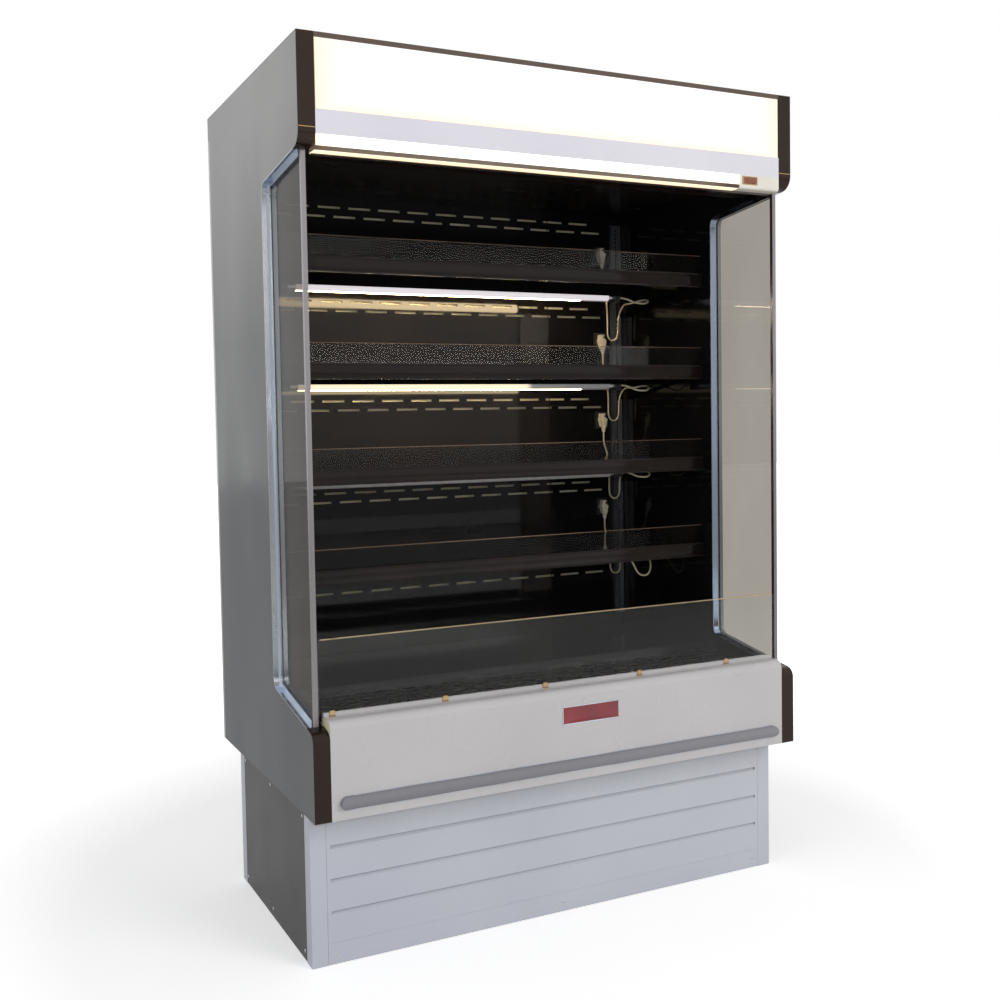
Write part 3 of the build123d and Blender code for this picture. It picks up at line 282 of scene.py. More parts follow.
sheetLooks = {
    "glossBlack": {"colour": (0.0050, 0.0045, 0.0046), "shade": (0.0085, 0.0072, 0.0070), "patchScale": 3.0,
                   "rough": (0.03, 0.09), "grainScale": 160, "bump": 0.01, "specular": 0.18},
    "railBlack": {"colour": (0.008, 0.006, 0.0055), "shade": (0.015, 0.010, 0.008), "patchScale": 6.0,
                  "rough": (0.10, 0.18), "grainScale": 240, "bump": 0.02, "specular": 0.2},
    "darkBronze": {"colour": (0.022, 0.0135, 0.0098), "shade": (0.038, 0.025, 0.0185), "patchScale": 5.0,
                   "rough": (0.14, 0.24), "grainScale": 300, "bump": 0.02, "metallic": 0.5,
                   "specular": 0.3, "stretch": (1, 1, 0.15)},
    "edgeSteel": {"colour": (0.22, 0.205, 0.21), "shade": (0.34, 0.32, 0.33), "patchScale": 7.0,
                  "rough": (0.2, 0.32), "grainScale": 420, "bump": 0.02, "metallic": 0.9,
                  "stretch": (1, 1, 0.08)},
    "brightTrim": {"colour": (0.44, 0.485, 0.56), "shade": (0.68, 0.74, 0.84), "patchScale": 9.0,
                   "rough": (0.10, 0.24), "grainScale": 420, "bump": 0.03, "metallic": 1.0,
                   "stretch": (1, 1, 0.08)},
    "roofBrown": {"colour": (0.085, 0.058, 0.042), "shade": (0.096, 0.066, 0.048), "patchScale": 7.0,
                  "rough": (0.35, 0.5), "grainScale": 350, "bump": 0.08},
    "rearSheet": {"colour": (0.43, 0.435, 0.45), "shade": (0.48, 0.485, 0.50), "patchScale": 20.0,
                  "rough": (0.32, 0.5), "grainScale": 240, "bump": 0.05, "metallic": 0.85},
    "foamCream": {"colour": (0.62, 0.55, 0.36), "shade": (0.72, 0.65, 0.46), "patchScale": 18.0,
                  "rough": (0.8, 0.95), "grainScale": 220, "bump": 0.5},
    "frontCream": {"colour": (0.465, 0.45, 0.452), "shade": (0.515, 0.50, 0.502), "patchScale": 2.2,
                   "rough": (0.22, 0.32), "grainScale": 380, "bump": 0.02, "coat": 0.5},
    "bumperGrey": {"colour": (0.175, 0.17, 0.185), "shade": (0.225, 0.22, 0.235), "patchScale": 8.0,
                   "rough": (0.32, 0.46), "grainScale": 600, "bump": 0.10, "stretch": (0.1, 1, 1)},
    "baseBlue": {"colour": (0.47, 0.485, 0.55), "shade": (0.52, 0.535, 0.59), "patchScale": 2.5,
                 "rough": (0.28, 0.40), "grainScale": 380, "bump": 0.04},
    "baseSide": {"colour": (0.044, 0.039, 0.038), "shade": (0.060, 0.053, 0.052), "patchScale": 2.0,
                 "rough": (0.16, 0.28), "grainScale": 380, "bump": 0.03, "specular": 0.14},
    "ceilingDark": {"colour": (0.012, 0.009, 0.0075), "shade": (0.02, 0.015, 0.012), "patchScale": 3.0,
                    "rough": (0.16, 0.28), "grainScale": 200, "bump": 0.02, "specular": 0.25},
    "galvanised": {"colour": (0.36, 0.37, 0.38), "shade": (0.52, 0.53, 0.54), "patchScale": 26.0,
                   "rough": (0.3, 0.5), "grainScale": 160, "bump": 0.05, "metallic": 0.9},
    "finnedCoil": {"colour": (0.52, 0.53, 0.55), "shade": (0.66, 0.67, 0.69), "patchScale": 12.0,
                   "rough": (0.35, 0.5), "grainScale": 700, "bump": 0.5, "metallic": 0.8,
                   "stretch": (1, 0.2, 0.2)},
    "blackEnamel": {"colour": (0.016, 0.016, 0.018), "shade": (0.03, 0.03, 0.032), "patchScale": 7.0,
                    "rough": (0.25, 0.4), "grainScale": 260, "bump": 0.06},
    "fanPlastic": {"colour": (0.022, 0.022, 0.023), "shade": (0.035, 0.035, 0.036), "patchScale": 16.0,
                   "rough": (0.45, 0.6), "grainScale": 500, "bump": 0.1},
    "creamPlastic": {"colour": (0.86, 0.75, 0.54), "shade": (0.92, 0.83, 0.64), "patchScale": 30.0,
                     "rough": (0.28, 0.42), "grainScale": 700, "bump": 0.04},
    "rockerBrown": {"colour": (0.19, 0.06, 0.03), "shade": (0.26, 0.09, 0.045), "patchScale": 60.0,
                    "rough": (0.2, 0.32), "grainScale": 900, "bump": 0.03},
    "plateCream": {"colour": (0.70, 0.66, 0.58), "shade": (0.76, 0.73, 0.66), "patchScale": 12.0,
                   "rough": (0.3, 0.42), "grainScale": 600, "bump": 0.03},
    # frontGlassGlint: painted highlight on the front glass's polished top edge
    "frontGlassGlint": {"colour": (0.56, 0.38, 0.20), "shade": (0.70, 0.52, 0.31), "patchScale": 5.0,
                  "rough": (0.25, 0.4), "grainScale": 500, "bump": 0.02, "metallic": 0.2,
                  "stretch": (0.6, 1, 1)},
    # goldTrimAndGlint: real gold trim on the glass clips and the switch frame, a painted highlight on the
    # end caps
    "goldTrimAndGlint": {"colour": (0.40, 0.25, 0.12), "shade": (0.58, 0.40, 0.21), "patchScale": 5.0,
                 "rough": (0.2, 0.36), "grainScale": 500, "bump": 0.02, "metallic": 0.9,
                 "stretch": (0.6, 1, 1)},
    # glintGold: painted highlight on the rail beads and on the clear stops' top edges
    "glintGold": {"colour": (0.16, 0.095, 0.055), "shade": (0.26, 0.16, 0.10), "patchScale": 4.0,
                 "rough": (0.3, 0.45), "grainScale": 500, "bump": 0.02, "metallic": 0.5,
                 "stretch": (0.6, 1, 1)},
    "badgeRed": {"colour": (0.16, 0.006, 0.012), "shade": (0.24, 0.012, 0.02), "patchScale": 16.0,
                 "rough": (0.16, 0.26), "grainScale": 500, "bump": 0.02, "coat": 0.6},
    "screwSteel": {"colour": (0.55, 0.55, 0.56), "shade": (0.68, 0.68, 0.69), "patchScale": 90.0,
                   "rough": (0.22, 0.38), "grainScale": 900, "bump": 0.05, "metallic": 1.0},
}
finishes = {name: makeSheetFinish(name, look) for name, look in sheetLooks.items()}


# end panels: glossy grey with a painted reflection, lighter towards the top and in soft patches, darker
# towards the floor, with the slight waves of thin sheet
endLook = {
    "upper": ((0.255, 0.253, 0.252), (0.325, 0.315, 0.307)),
    "lower": ((0.074, 0.078, 0.083), (0.098, 0.100, 0.103)),
    "fade": (1.4, 1.9),
    "rough": (0.12, 0.26),
    "waves": (0.35, 0.02),
    "specular": 0.14,
}


def makeEndPaintAndReflection(look):
    finish, tree, shader, place = startFinish("endPaintAndReflection")
    parts = splitPlace(tree, place)
    # painted reflection: the colour turns lighter with height and in soft patches
    height = addRange(tree, parts["Z"], 0.0, 1.0, *look["fade"])
    blotches = addNoise(tree, place, 1.6, 4.0, (1, 1, 0.45))
    upper = addMix(tree, addRange(tree, blotches, 0.0, 1.0), *look["upper"])
    lower = addMix(tree, addRange(tree, blotches, 0.0, 1.0), *look["lower"])
    tree.links.new(addMix(tree, height, lower, upper), shader.inputs["Base Color"])
    smears = addNoise(tree, place, 5.0, 3.0, (1, 1, 0.3))
    tree.links.new(addRange(tree, smears, *look["rough"]), shader.inputs["Roughness"])
    waves = addNoise(tree, place, 2.4, 1.0, (1, 1, 0.6))
    addBump(tree, shader, waves, *look["waves"])
    shader.inputs["Specular IOR Level"].default_value = look["specular"]
    return finish


finishes["endPaintAndReflection"] = makeEndPaintAndReflection(endLook)


# canopy box: pale band at the front, dark everywhere behind it
canopyLook = {
    "pale": ((0.64, 0.625, 0.685), (0.70, 0.685, 0.74)),
    "dark": ((0.040, 0.030, 0.024), (0.060, 0.046, 0.036)),
    "bandRear": (-0.3845, -0.3840),
    "rough": (0.28, 0.4),
}


def makeCanopyPaint(look):
    finish, tree, shader, place = startFinish("canopyPaint")
    parts = splitPlace(tree, place)
    behind = addRange(tree, parts["Y"], 0.0, 1.0, *look["bandRear"])
    blotches = addNoise(tree, place, 3.0, 3.0)
    pale = addMix(tree, addRange(tree, blotches, 0.0, 1.0), *look["pale"])
    dark = addMix(tree, addRange(tree, blotches, 0.0, 1.0), *look["dark"])
    tree.links.new(addMix(tree, behind, pale, dark), shader.inputs["Base Color"])
    smears = addNoise(tree, place, 9.0, 2.0)
    tree.links.new(addRange(tree, smears, *look["rough"]), shader.inputs["Roughness"])
    addBump(tree, shader, addNoise(tree, place, 350, 2.0), 0.03)
    return finish


finishes["canopyPaint"] = makeCanopyPaint(canopyLook)


# lit acrylic: white in the middle, warmer towards the ends and the lower edge
acrylicTints = ((0.8, 0.79, 0.77), (0.74, 0.65, 0.52))
acrylicCloud = (0.97, 1.0)


def makeLitFinish(name, look):
    finish, tree, shader, place = startFinish(name)
    parts = splitPlace(tree, place)
    toEnd = addRange(tree, addMath(tree, "ABSOLUTE", parts["X"]), 0.0, 1.0, *look["endFade"])
    toFoot = addRange(tree, parts["Z"], 1.0, 0.0, *look["footFade"])
    towardsEdge = addMath(tree, "MAXIMUM", toEnd, toFoot)
    glow = addMix(tree, towardsEdge, look["middle"], look["edge"])
    cloud = addRange(tree, addNoise(tree, place, 2.2, 2.0), *acrylicCloud)
    dim = tree.nodes.new("ShaderNodeVectorMath")
    dim.operation = "SCALE"
    tree.links.new(glow, dim.inputs[0])
    tree.links.new(cloud, dim.inputs["Scale"])
    tree.links.new(dim.outputs[0], shader.inputs["Emission Color"])
    acrylic = addMix(tree, towardsEdge, *acrylicTints)
    tree.links.new(acrylic, shader.inputs["Base Color"])
    shader.inputs["Emission Strength"].default_value = look["strength"]
    shader.inputs["Roughness"].default_value = look["rough"]
    return finish


litLooks = {
    "signLit": {"endFade": (0.48, 0.612), "footFade": (1.843, 1.90), "middle": (0.96, 0.945, 0.92),
                "edge": (0.86, 0.68, 0.46), "strength": 0.52, "rough": 0.25},
    "lensLit": {"endFade": (0.54, 0.61), "footFade": (1.7645, 1.778), "middle": (1.0, 0.985, 0.94),
                "edge": (1.0, 0.78, 0.50), "strength": 1.05, "rough": 0.4},
    "canopyTubeLit": {"endFade": (0.53, 0.56), "footFade": (0.0, 0.001), "middle": (1.0, 0.95, 0.85),
                      "edge": (0.9, 0.8, 0.62), "strength": 3.0, "rough": 0.3},
}
for litName, litLook in litLooks.items():
    finishes[litName] = makeLitFinish(litName, litLook)


# shelf tubes: coated glass; the glow is painted light: dim on the front half, bright gold on the rear half
# towards the rear wall, each half stopping partway along the tube, to give the lit strip under the shelf
# and the gold reflection on the rear wall
tubeGlass = {
    "coat": ((0.74, 0.72, 0.72), (0.80, 0.78, 0.78)),
    "glowSplit": (0.1575, 0.1605),
    "rearTint": (1.0, 0.78, 0.46),
    "rearFade": 0.006,
    "frontFade": 0.02,
    "rough": 0.3,
}


def makeTubeFinish(name, look):
    finish, tree, shader, place = startFinish(name)
    parts = splitPlace(tree, place)
    coat = addMix(tree, addNoise(tree, place, 9.0, 2.0), *tubeGlass["coat"])
    tree.links.new(coat, shader.inputs["Base Color"])
    # painted light: the glow is split front and rear by Y, and each half is cut off along X
    rear = addRange(tree, parts["Y"], 0.0, 1.0, *tubeGlass["glowSplit"])
    rearEnd, frontEnd = look["rearEnd"], look["frontEnd"]
    alongRear = addRange(tree, parts["X"], look["rear"], 0.0, rearEnd, rearEnd + tubeGlass["rearFade"])
    alongFront = addRange(tree, parts["X"], look["front"], 0.0, frontEnd, frontEnd + tubeGlass["frontFade"])
    glow = tree.nodes.new("ShaderNodeMix")
    tree.links.new(rear, glow.inputs[0])
    tree.links.new(alongFront, glow.inputs[2])
    tree.links.new(alongRear, glow.inputs[3])
    tree.links.new(glow.outputs[0], shader.inputs["Emission Strength"])
    tint = addMix(tree, rear, look["frontTint"], tubeGlass["rearTint"])
    tree.links.new(tint, shader.inputs["Emission Color"])
    shader.inputs["Roughness"].default_value = tubeGlass["rough"]
    return finish


# painted light: glow strengths, tints and the X where each half of the tube stops glowing
tubeLooks = {
    "tubeTop": {"front": 0.55, "frontEnd": 0.46, "rear": 45.0, "rearEnd": 0.344,
                "frontTint": (0.93, 0.86, 0.92)},
    "tubeSecond": {"front": 0.9, "frontEnd": 0.165, "rear": 28.0, "rearEnd": 0.344,
                   "frontTint": (1.0, 0.80, 0.50)},
    "tubeOff": {"front": 0.0, "frontEnd": 0.46, "rear": 0.0, "rearEnd": 0.344,
                "frontTint": (1.0, 0.9, 0.8)},
}
for tubeName, tubeLook in tubeLooks.items():
    finishes[tubeName] = makeTubeFinish(tubeName, tubeLook)
shelfTubes = ("tubeTop", "tubeSecond", "tubeOff", "tubeOff")


# clear glass and clear plastic, with faint wipe marks
def makeClearFinish(name, look):
    finish, tree, shader, place = startFinish(name)
    marks = addNoise(tree, place, look["markScale"], 4.0, (1, 1, 0.35))
    tint = addMix(tree, addRange(tree, marks, 0.0, 1.0), look["colour"], look["shade"])
    tree.links.new(tint, shader.inputs["Base Color"])
    tree.links.new(addRange(tree, marks, *look["rough"]), shader.inputs["Roughness"])
    shader.inputs["Transmission Weight"].default_value = 1.0
    shader.inputs["IOR"].default_value = look["ior"]
    return finish


clearLooks = {
    "clearGlass": {"colour": (0.90, 0.93, 0.915), "shade": (0.94, 0.965, 0.95), "markScale": 6.0,
                   "rough": (0.0, 0.012), "ior": 1.22},
    "sideGlass": {"colour": (0.32, 0.295, 0.26), "shade": (0.37, 0.345, 0.31), "markScale": 5.0,
                  "rough": (0.0, 0.012), "ior": 1.15},
    "clearPlastic": {"colour": (0.93, 0.925, 0.92), "shade": (0.97, 0.965, 0.96), "markScale": 9.0,
                     "rough": (0.0, 0.02), "ior": 1.12},
}
for clearName, clearLook in clearLooks.items():
    finishes[clearName] = makeClearFinish(clearName, clearLook)


# uprights: grey steel with fine streaks along their height
uprightLook = {"steel": ((0.16, 0.165, 0.18), (0.30, 0.31, 0.335)), "rough": (0.2, 0.36), "metallic": 0.8}


def makeUprightSteel(look):
    finish, tree, shader, place = startFinish("uprightSteel")
    streaks = addNoise(tree, place, 30, 3.0, (1, 1, 0.06))
    steel = addMix(tree, addRange(tree, streaks, 0.0, 1.0), *look["steel"])
    tree.links.new(steel, shader.inputs["Base Color"])
    tree.links.new(addRange(tree, streaks, *look["rough"]), shader.inputs["Roughness"])
    addBump(tree, shader, addNoise(tree, place, 300, 2.0), 0.04)
    shader.inputs["Metallic"].default_value = look["metallic"]
    return finish


finishes["uprightSteel"] = makeUprightSteel(uprightLook)


# lead sheath: soft cream vinyl with slightly darker patches
sheathLook = {"vinyl": ((0.90, 0.78, 0.53), (0.78, 0.66, 0.43)), "rough": (0.38, 0.52)}


def makeLeadSheath(look):
    finish, tree, shader, place = startFinish("leadSheath")
    patches = addNoise(tree, place, 22, 3.0)
    vinyl = addMix(tree, addRange(tree, patches, 0.0, 1.0), *look["vinyl"])
    tree.links.new(vinyl, shader.inputs["Base Color"])
    tree.links.new(addRange(tree, patches, *look["rough"]), shader.inputs["Roughness"])
    addBump(tree, shader, addNoise(tree, place, 900, 2.0), 0.06)
    return finish


finishes["leadSheath"] = makeLeadSheath(sheathLook)
print("finishes made")


# lamp leads and their plugs, in millimetres; the route's points are those of the solids
shelfTops = (1594.0, 1340.0, 1086.0, 844.7)
leadSetup = {
    "diameter": 5.0,
    "sides": 12,
    "sags": (62.0, 62.0, 62.0, 112.0),
    "loops": (157.0, 150.0, 137.0, 129.0),
    "plugHeights": (1696.0, 1433.0, 1192.0, 924.7),
    "startX": 480.0,
    "startY": 165.0,
    "strandX": 580.0,
    "strandY": 326.0,
    "wallX": 559.0,
    "wallY": 353.0,
    "plugX": 533.0,
    "plugY": 339.5,
    "drop": 47,
    "loopRise": 66,
    "reliefDrop": 38,
}


def leadRoute(setup, index):
    top, sag, loop = shelfTops[index], setup["sags"][index], setup["loops"][index]
    x, y, plugX, plugY = setup["startX"], setup["startY"], setup["plugX"], setup["plugY"]
    strandX, strandY, wallX, wallY = setup["strandX"], setup["strandY"], setup["wallX"], setup["wallY"]
    start, turn = top - setup["drop"], top - loop + setup["loopRise"]
    relief = setup["plugHeights"][index] - setup["reliefDrop"]
    return [
        (x, y, start), (x + 18, y, start), (x + 38, y - 5, start - 0.45 * (sag - setup["drop"])),
        (x + 50, y - 15, top - sag), (x + 80, y - 25, top - sag - 2),
        (strandX - 2, y - 13, top - 22 - 0.5 * sag), (strandX + 2, y + 27, start),
        (strandX - 3, y + 82, top - 53), (strandX + 1, strandY - 28, top - 50),
        (strandX, strandY, turn), (strandX, strandY, top - loop),
        (wallX, wallY, top - loop), (wallX + 1, wallY, turn - 4),
        (wallX - 1, wallY, (turn - 4 + relief - 66) / 2), (wallX - 5, wallY, relief - 66),
        (plugX + 6, plugY + 10, relief - 34), (plugX, plugY, relief - 14), (plugX, plugY, relief),
    ]


# points along the route's smooth line
def splinePoints(route, name):
    curve = bpy.data.curves.new(name, "CURVE")
    curve.dimensions = "3D"
    curve.resolution_u = 10
    spline = curve.splines.new("NURBS")
    spline.points.add(len(route) - 1)
    for point, place in zip(spline.points, route):
        point.co = (*(Vector(place) * mm), 1)
    spline.order_u = 3
    spline.use_endpoint_u = True
    line = bpy.data.objects.new(name, curve)
    bpy.context.scene.collection.objects.link(line)
    mesh = bpy.data.meshes.new_from_object(line)
    points = [vertex.co.copy() for vertex in mesh.vertices]
    bpy.data.objects.remove(line)
    bpy.data.meshes.remove(mesh)
    bpy.data.curves.remove(curve)
    return points


# a closed round tube along points, turned as little as possible from ring to ring
def tubeAlong(name, points, diameter, sides):
    tube = bmesh.new()
    rings = []
    across = None
    for index, point in enumerate(points):
        ahead = points[min(index + 1, len(points) - 1)] - points[max(index - 1, 0)]
        ahead.normalize()
        if across is None:
            across = ahead.orthogonal()
        across = (across - ahead * across.dot(ahead)).normalized()
        side = ahead.cross(across)
        rings.append([
            tube.verts.new(point + (across * math.cos(angle) + side * math.sin(angle)) * diameter / 2)
            for angle in (2 * math.pi * step / sides for step in range(sides))
        ])
    for before, after in zip(rings, rings[1:]):
        for step in range(sides):
            following = (step + 1) % sides
            face = tube.faces.new((before[step], before[following], after[following], after[step]))
            face.smooth = True
    tube.faces.new(list(reversed(rings[0])))
    tube.faces.new(rings[-1])
    mesh = bpy.data.meshes.new(name)
    tube.to_mesh(mesh)
    tube.free()
    piece = bpy.data.objects.new(name, mesh)
    bpy.context.scene.collection.objects.link(piece)
    return piece


# moulded plug: body with finger grips, a lever on top and a ribbed tail to the lead
plugSetup = {
    "body": ((518, 329, -21), (542, 350.6, 3)),
    "lever": ((3.0, 0.62), (9.0, 0.92), (5.0, 0.86)),
    "leverShift": -4.0,
    "footNarrow": (0.62, 0.86, 1),
    "sideDent": (3.0, -1.0),
    "grip": (3.0, 0.6),
    "round": 1.6,
    "tailX": 533.0,
    "tailRadii": (7.6, 6.4, 6.6, 5.2, 5.4, 3.6),
    "tailSteps": (-22, -25, -27, -31, -33, -38.0),
}


def makePlug(setup):
    low, high = setup["body"]
    middleX, middleY = (low[0] + high[0]) / 2, (low[1] + high[1]) / 2
    body = startBox("plugBody", low, high)
    pickFaces(body, lambda centre, normal: normal.z > 0.9)
    for rise, narrow in setup["lever"]:
        extrudePicked((0, 0, rise))
        shrinkPicked((narrow, 1, 1), (middleX + setup["leverShift"], middleY, high[2]))
    pickFaces(body, lambda centre, normal: normal.z < -0.9)
    shrinkPicked(setup["footNarrow"], (setup["tailX"], middleY, low[2]))
    pickFaces(body, lambda centre, normal: abs(normal.x) > 0.7 and low[2] < centre.z < high[2])
    insetPicked(*setup["sideDent"])
    pickFaces(body, lambda centre, normal: normal.y < -0.9 and centre.z < high[2])
    insetPicked(*setup["grip"])
    roundEdges(body, setup["round"], 3)
    tailX, radii, steps = setup["tailX"], setup["tailRadii"], setup["tailSteps"]
    tail = startRound("plugTail", (tailX, middleY, steps[0] + 0.5), radii[0], 1.0, "Z", 24)
    for radius, before, step, last in zip(radii[1:], radii, steps[1:], steps):
        pickFaces(tail, lambda centre, normal: normal.z < -0.9)
        extrudePicked((0, 0, step - last))
        shrinkPicked((radius / before, radius / before, 1), (tailX, middleY, step))
    bpy.ops.object.mode_set(mode="OBJECT")
    plug = joinPieces([body, tail], "plugModel")
    smoothByAngle(plug, 40)
    return plug


# round dark eye on the plug's face
eyeSetup = {"centre": (533, 328.4, 12), "radius": 3.6, "length": 1.6, "rim": 1.0, "hollow": (0.4, -0.8)}


def makePlugEye(setup):
    eye = startRound("plugEyeModel", setup["centre"], setup["radius"], setup["length"], "Y", 24)
    pickFaces(eye, lambda centre, normal: normal.y < -0.9)
    insetPicked(setup["rim"])
    insetPicked(*setup["hollow"])
    bpy.ops.object.mode_set(mode="OBJECT")
    smoothByAngle(eye)
    return eye


plugModel = makePlug(plugSetup)
eyeModel = makePlugEye(eyeSetup)
for index, top in enumerate(shelfTops):
    number = index + 1
    points = splinePoints(leadRoute(leadSetup, index), f"leadLine{number}")
    lead = tubeAlong(f"lampLead{number}", points, leadSetup["diameter"] * mm, leadSetup["sides"])
    dress(lead, None, "lead_pvc", finishes["leadSheath"])
    plug = copyMoved(plugModel, f"lampPlug{number}", (0, 0, leadSetup["plugHeights"][index]))
    dress(plug, "case", "cream_plastic", finishes["creamPlastic"])
    eye = copyMoved(eyeModel, f"plugEye{number}", (0, 0, leadSetup["plugHeights"][index]))
    dress(eye, "case", "black_enamel", finishes["blackEnamel"])
    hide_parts("lamp_plugs")
    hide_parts(f"shelf_{number}_lamp_lead")
    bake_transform(lead)
    length = sum((after - before).length for before, after in zip(points, points[1:]))
    tuple(points[0])
    [tuple(point) for point in points]
    print("lead", number, round(length, 3))
bpy.data.objects.remove(plugModel)
bpy.data.objects.remove(eyeModel)
print("leads and plugs made")


# the solids' own finishes
nodeFinishes = {
    "left_end_panel": "endPaintAndReflection", "right_end_panel": "endPaintAndReflection", "end_liners": "glossBlack",
    "end_caps": "darkBronze", "glazing_trims": "brightTrim", "glass_edge_strips": "edgeSteel",
    "side_glasses": "sideGlass", "front_glass": "clearGlass", "rear_panel": "rearSheet",
    "roof_panel": "roofBrown", "insulated_tub": "foamCream", "front_panel": "frontCream",
    "bumper_rail": "bumperGrey", "rear_liner": "glossBlack", "ceiling_liner": "ceilingDark",
    "discharge_grille": "darkBronze", "shelf_uprights": "uprightSteel", "deck_pan": "glossBlack",
    "return_grille": "railBlack", "fan_plenum": "galvanised", "evaporator_coil": "finnedCoil",
    "evaporator_fan_left": "fanPlastic", "evaporator_fan_right": "fanPlastic",
    "fan_motors": "blackEnamel", "condenser_coil": "finnedCoil", "fan_shroud": "galvanised",
    "condenser_fan": "fanPlastic", "compressor": "blackEnamel", "condensate_pan": "galvanised",
    "base_frame": "baseBlue", "base_side_panels": "baseSide", "louvre_panel": "baseBlue",
    "canopy_box": "canopyPaint", "sign_panel": "signLit", "canopy_lens": "lensLit",
    "switch_plate": "plateCream", "switch_rocker": "rockerBrown", "canopy_lamps": "canopyTubeLit",
    "lamp_sockets": "blackEnamel", "lamp_plugs": "creamPlastic",
}
for number in range(1, 5):
    nodeFinishes[f"shelf_{number}"] = "glossBlack"
    nodeFinishes[f"shelf_{number}_price_rail"] = "railBlack"
    nodeFinishes[f"shelf_{number}_front_stop"] = "clearPlastic"
    nodeFinishes[f"shelf_{number}_lamp"] = shelfTubes[number - 1]
    nodeFinishes[f"shelf_{number}_lamp_lead"] = "leadSheath"
for nodeName, finishName in nodeFinishes.items():
    node = cadNodes[nodeName]
    node.data.materials.clear()
    node.data.materials.append(finishes[finishName])
print("solids dressed")


# shelf lamp: glass tube, metal end caps and the two holders under the shelf
lampSetup = {
    "left": -512.0,
    "right": 462.0,
    "centreY": 165.0,
    "drop": 47.0,
    "radius": 12.7,
    "shoulder": 2,
    "shoulderNarrow": 0.93,
    "capRadius": 13.0,
    "capLength": 22.0,
    "capRim": 0.5,
    "capCollar": 1.5,
    "capFace": 2.5,
    "capRound": 0.5,
    "holderLength": 18.0,
    "holderHalf": 14.0,
    "holderBelow": 14.0,
    "holderTop": -1.5,
    "holderNarrow": 0.8,
    "holderDent": (3.0, -0.5),
    "holderRound": 1.2,
}


def makeLampTube(setup):
    middle, narrow = (setup["left"] + setup["right"]) / 2, setup["shoulderNarrow"]
    tube = startRound("lampTubeModel", (middle, setup["centreY"], -setup["drop"]), setup["radius"],
                      setup["right"] - setup["left"] - 2 * setup["capLength"], "X", 40)
    for side in (-1, 1):
        pickFaces(tube, lambda centre, normal: normal.x * side > 0.9)
        extrudePicked((side * setup["shoulder"], 0, 0))
        shrinkPicked((1, narrow, narrow), (0, setup["centreY"], -setup["drop"]))
    bpy.ops.object.mode_set(mode="OBJECT")
    smoothByAngle(tube, 50)
    return tube


def makeLampCaps(setup):
    caps = []
    for side, end in ((-1, setup["left"]), (1, setup["right"])):
        middle = (end - side * setup["capLength"] / 2, setup["centreY"], -setup["drop"])
        cap = startRound("lampCap", middle, setup["capRadius"], setup["capLength"], "X", 40)
        pickFaces(cap, lambda centre, normal: normal.x * side < -0.9)
        insetPicked(setup["capRim"])
        extrudePicked((side * setup["capCollar"], 0, 0))
        pickFaces(cap, lambda centre, normal: normal.x * side > 0.9)
        insetPicked(setup["capFace"])
        bpy.ops.object.mode_set(mode="OBJECT")
        roundEdges(cap, setup["capRound"], 2)
        caps.append(cap)
    pair = joinPieces(caps, "lampCapsModel")
    smoothByAngle(pair, 40)
    return pair


def makeLampHolders(setup):
    holders = []
    for low in (setup["left"] - setup["holderLength"], setup["right"]):
        holder = startBox(
            "lampHolder",
            (low, setup["centreY"] - setup["holderHalf"], -setup["drop"] - setup["holderBelow"]),
            (low + setup["holderLength"], setup["centreY"] + setup["holderHalf"], setup["holderTop"]),
        )
        pickFaces(holder, lambda centre, normal: normal.z < -0.9)
        shrinkPicked((1, setup["holderNarrow"], 1), (0, setup["centreY"], 0))
        pickFaces(holder, lambda centre, normal: abs(normal.y) > 0.9)
        insetPicked(*setup["holderDent"])
        bpy.ops.object.mode_set(mode="OBJECT")
        roundEdges(holder, setup["holderRound"], 3)
        holders.append(holder)
    pair = joinPieces(holders, "lampHoldersModel")
    smoothByAngle(pair, 40)
    return pair


lampModels = {
    "lampTube": (makeLampTube(lampSetup), None),
    "lampCaps": (makeLampCaps(lampSetup), "screwSteel"),
    "lampHolders": (makeLampHolders(lampSetup), "blackEnamel"),
}
for index, top in enumerate(shelfTops):
    for lampPart, (model, finishName) in lampModels.items():
        copied = copyMoved(model, f"{lampPart}{index + 1}", (0, 0, top))
        dress(copied, f"shelf_{index + 1}", "lamp_white", finishes[finishName or shelfTubes[index]])
        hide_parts(f"shelf_{index + 1}_lamp")
for model, finishName in lampModels.values():
    bpy.data.objects.remove(model)
print("lamps made")


# price rail beads, gold as a painted reflection of the canopy light on the rail's lips; label strip; and
# the edge of the clear stop, gold as a painted highlight
railSetup = {
    "halfLength": 605.5,
    "frontY": -70.45,
    "topRise": 1.0,
    "height": 39.0,
    "beadHeight": 2.6,
    "beadDepth": 1.4,
    "beadGap": 0.3,
    "beadSink": 0.02,
    "beadNarrow": 0.6,
    "beadRound": 0.35,
    "stripDepth": 1.0,
    "stripMargin": 3.4,
    "stripEndGap": 1,
    "stripSink": 1.7,
    "stripRim": 2.0,
    "stripRaise": -0.7,
    "stripRound": 0.3,
    "stopHalf": 603.0,
    "stopLow": (-65.1, 49.0),
    "stopHigh": (-61.9, 50.3),
    "stopNarrow": 0.6,
    "stopRound": 0.2,
}


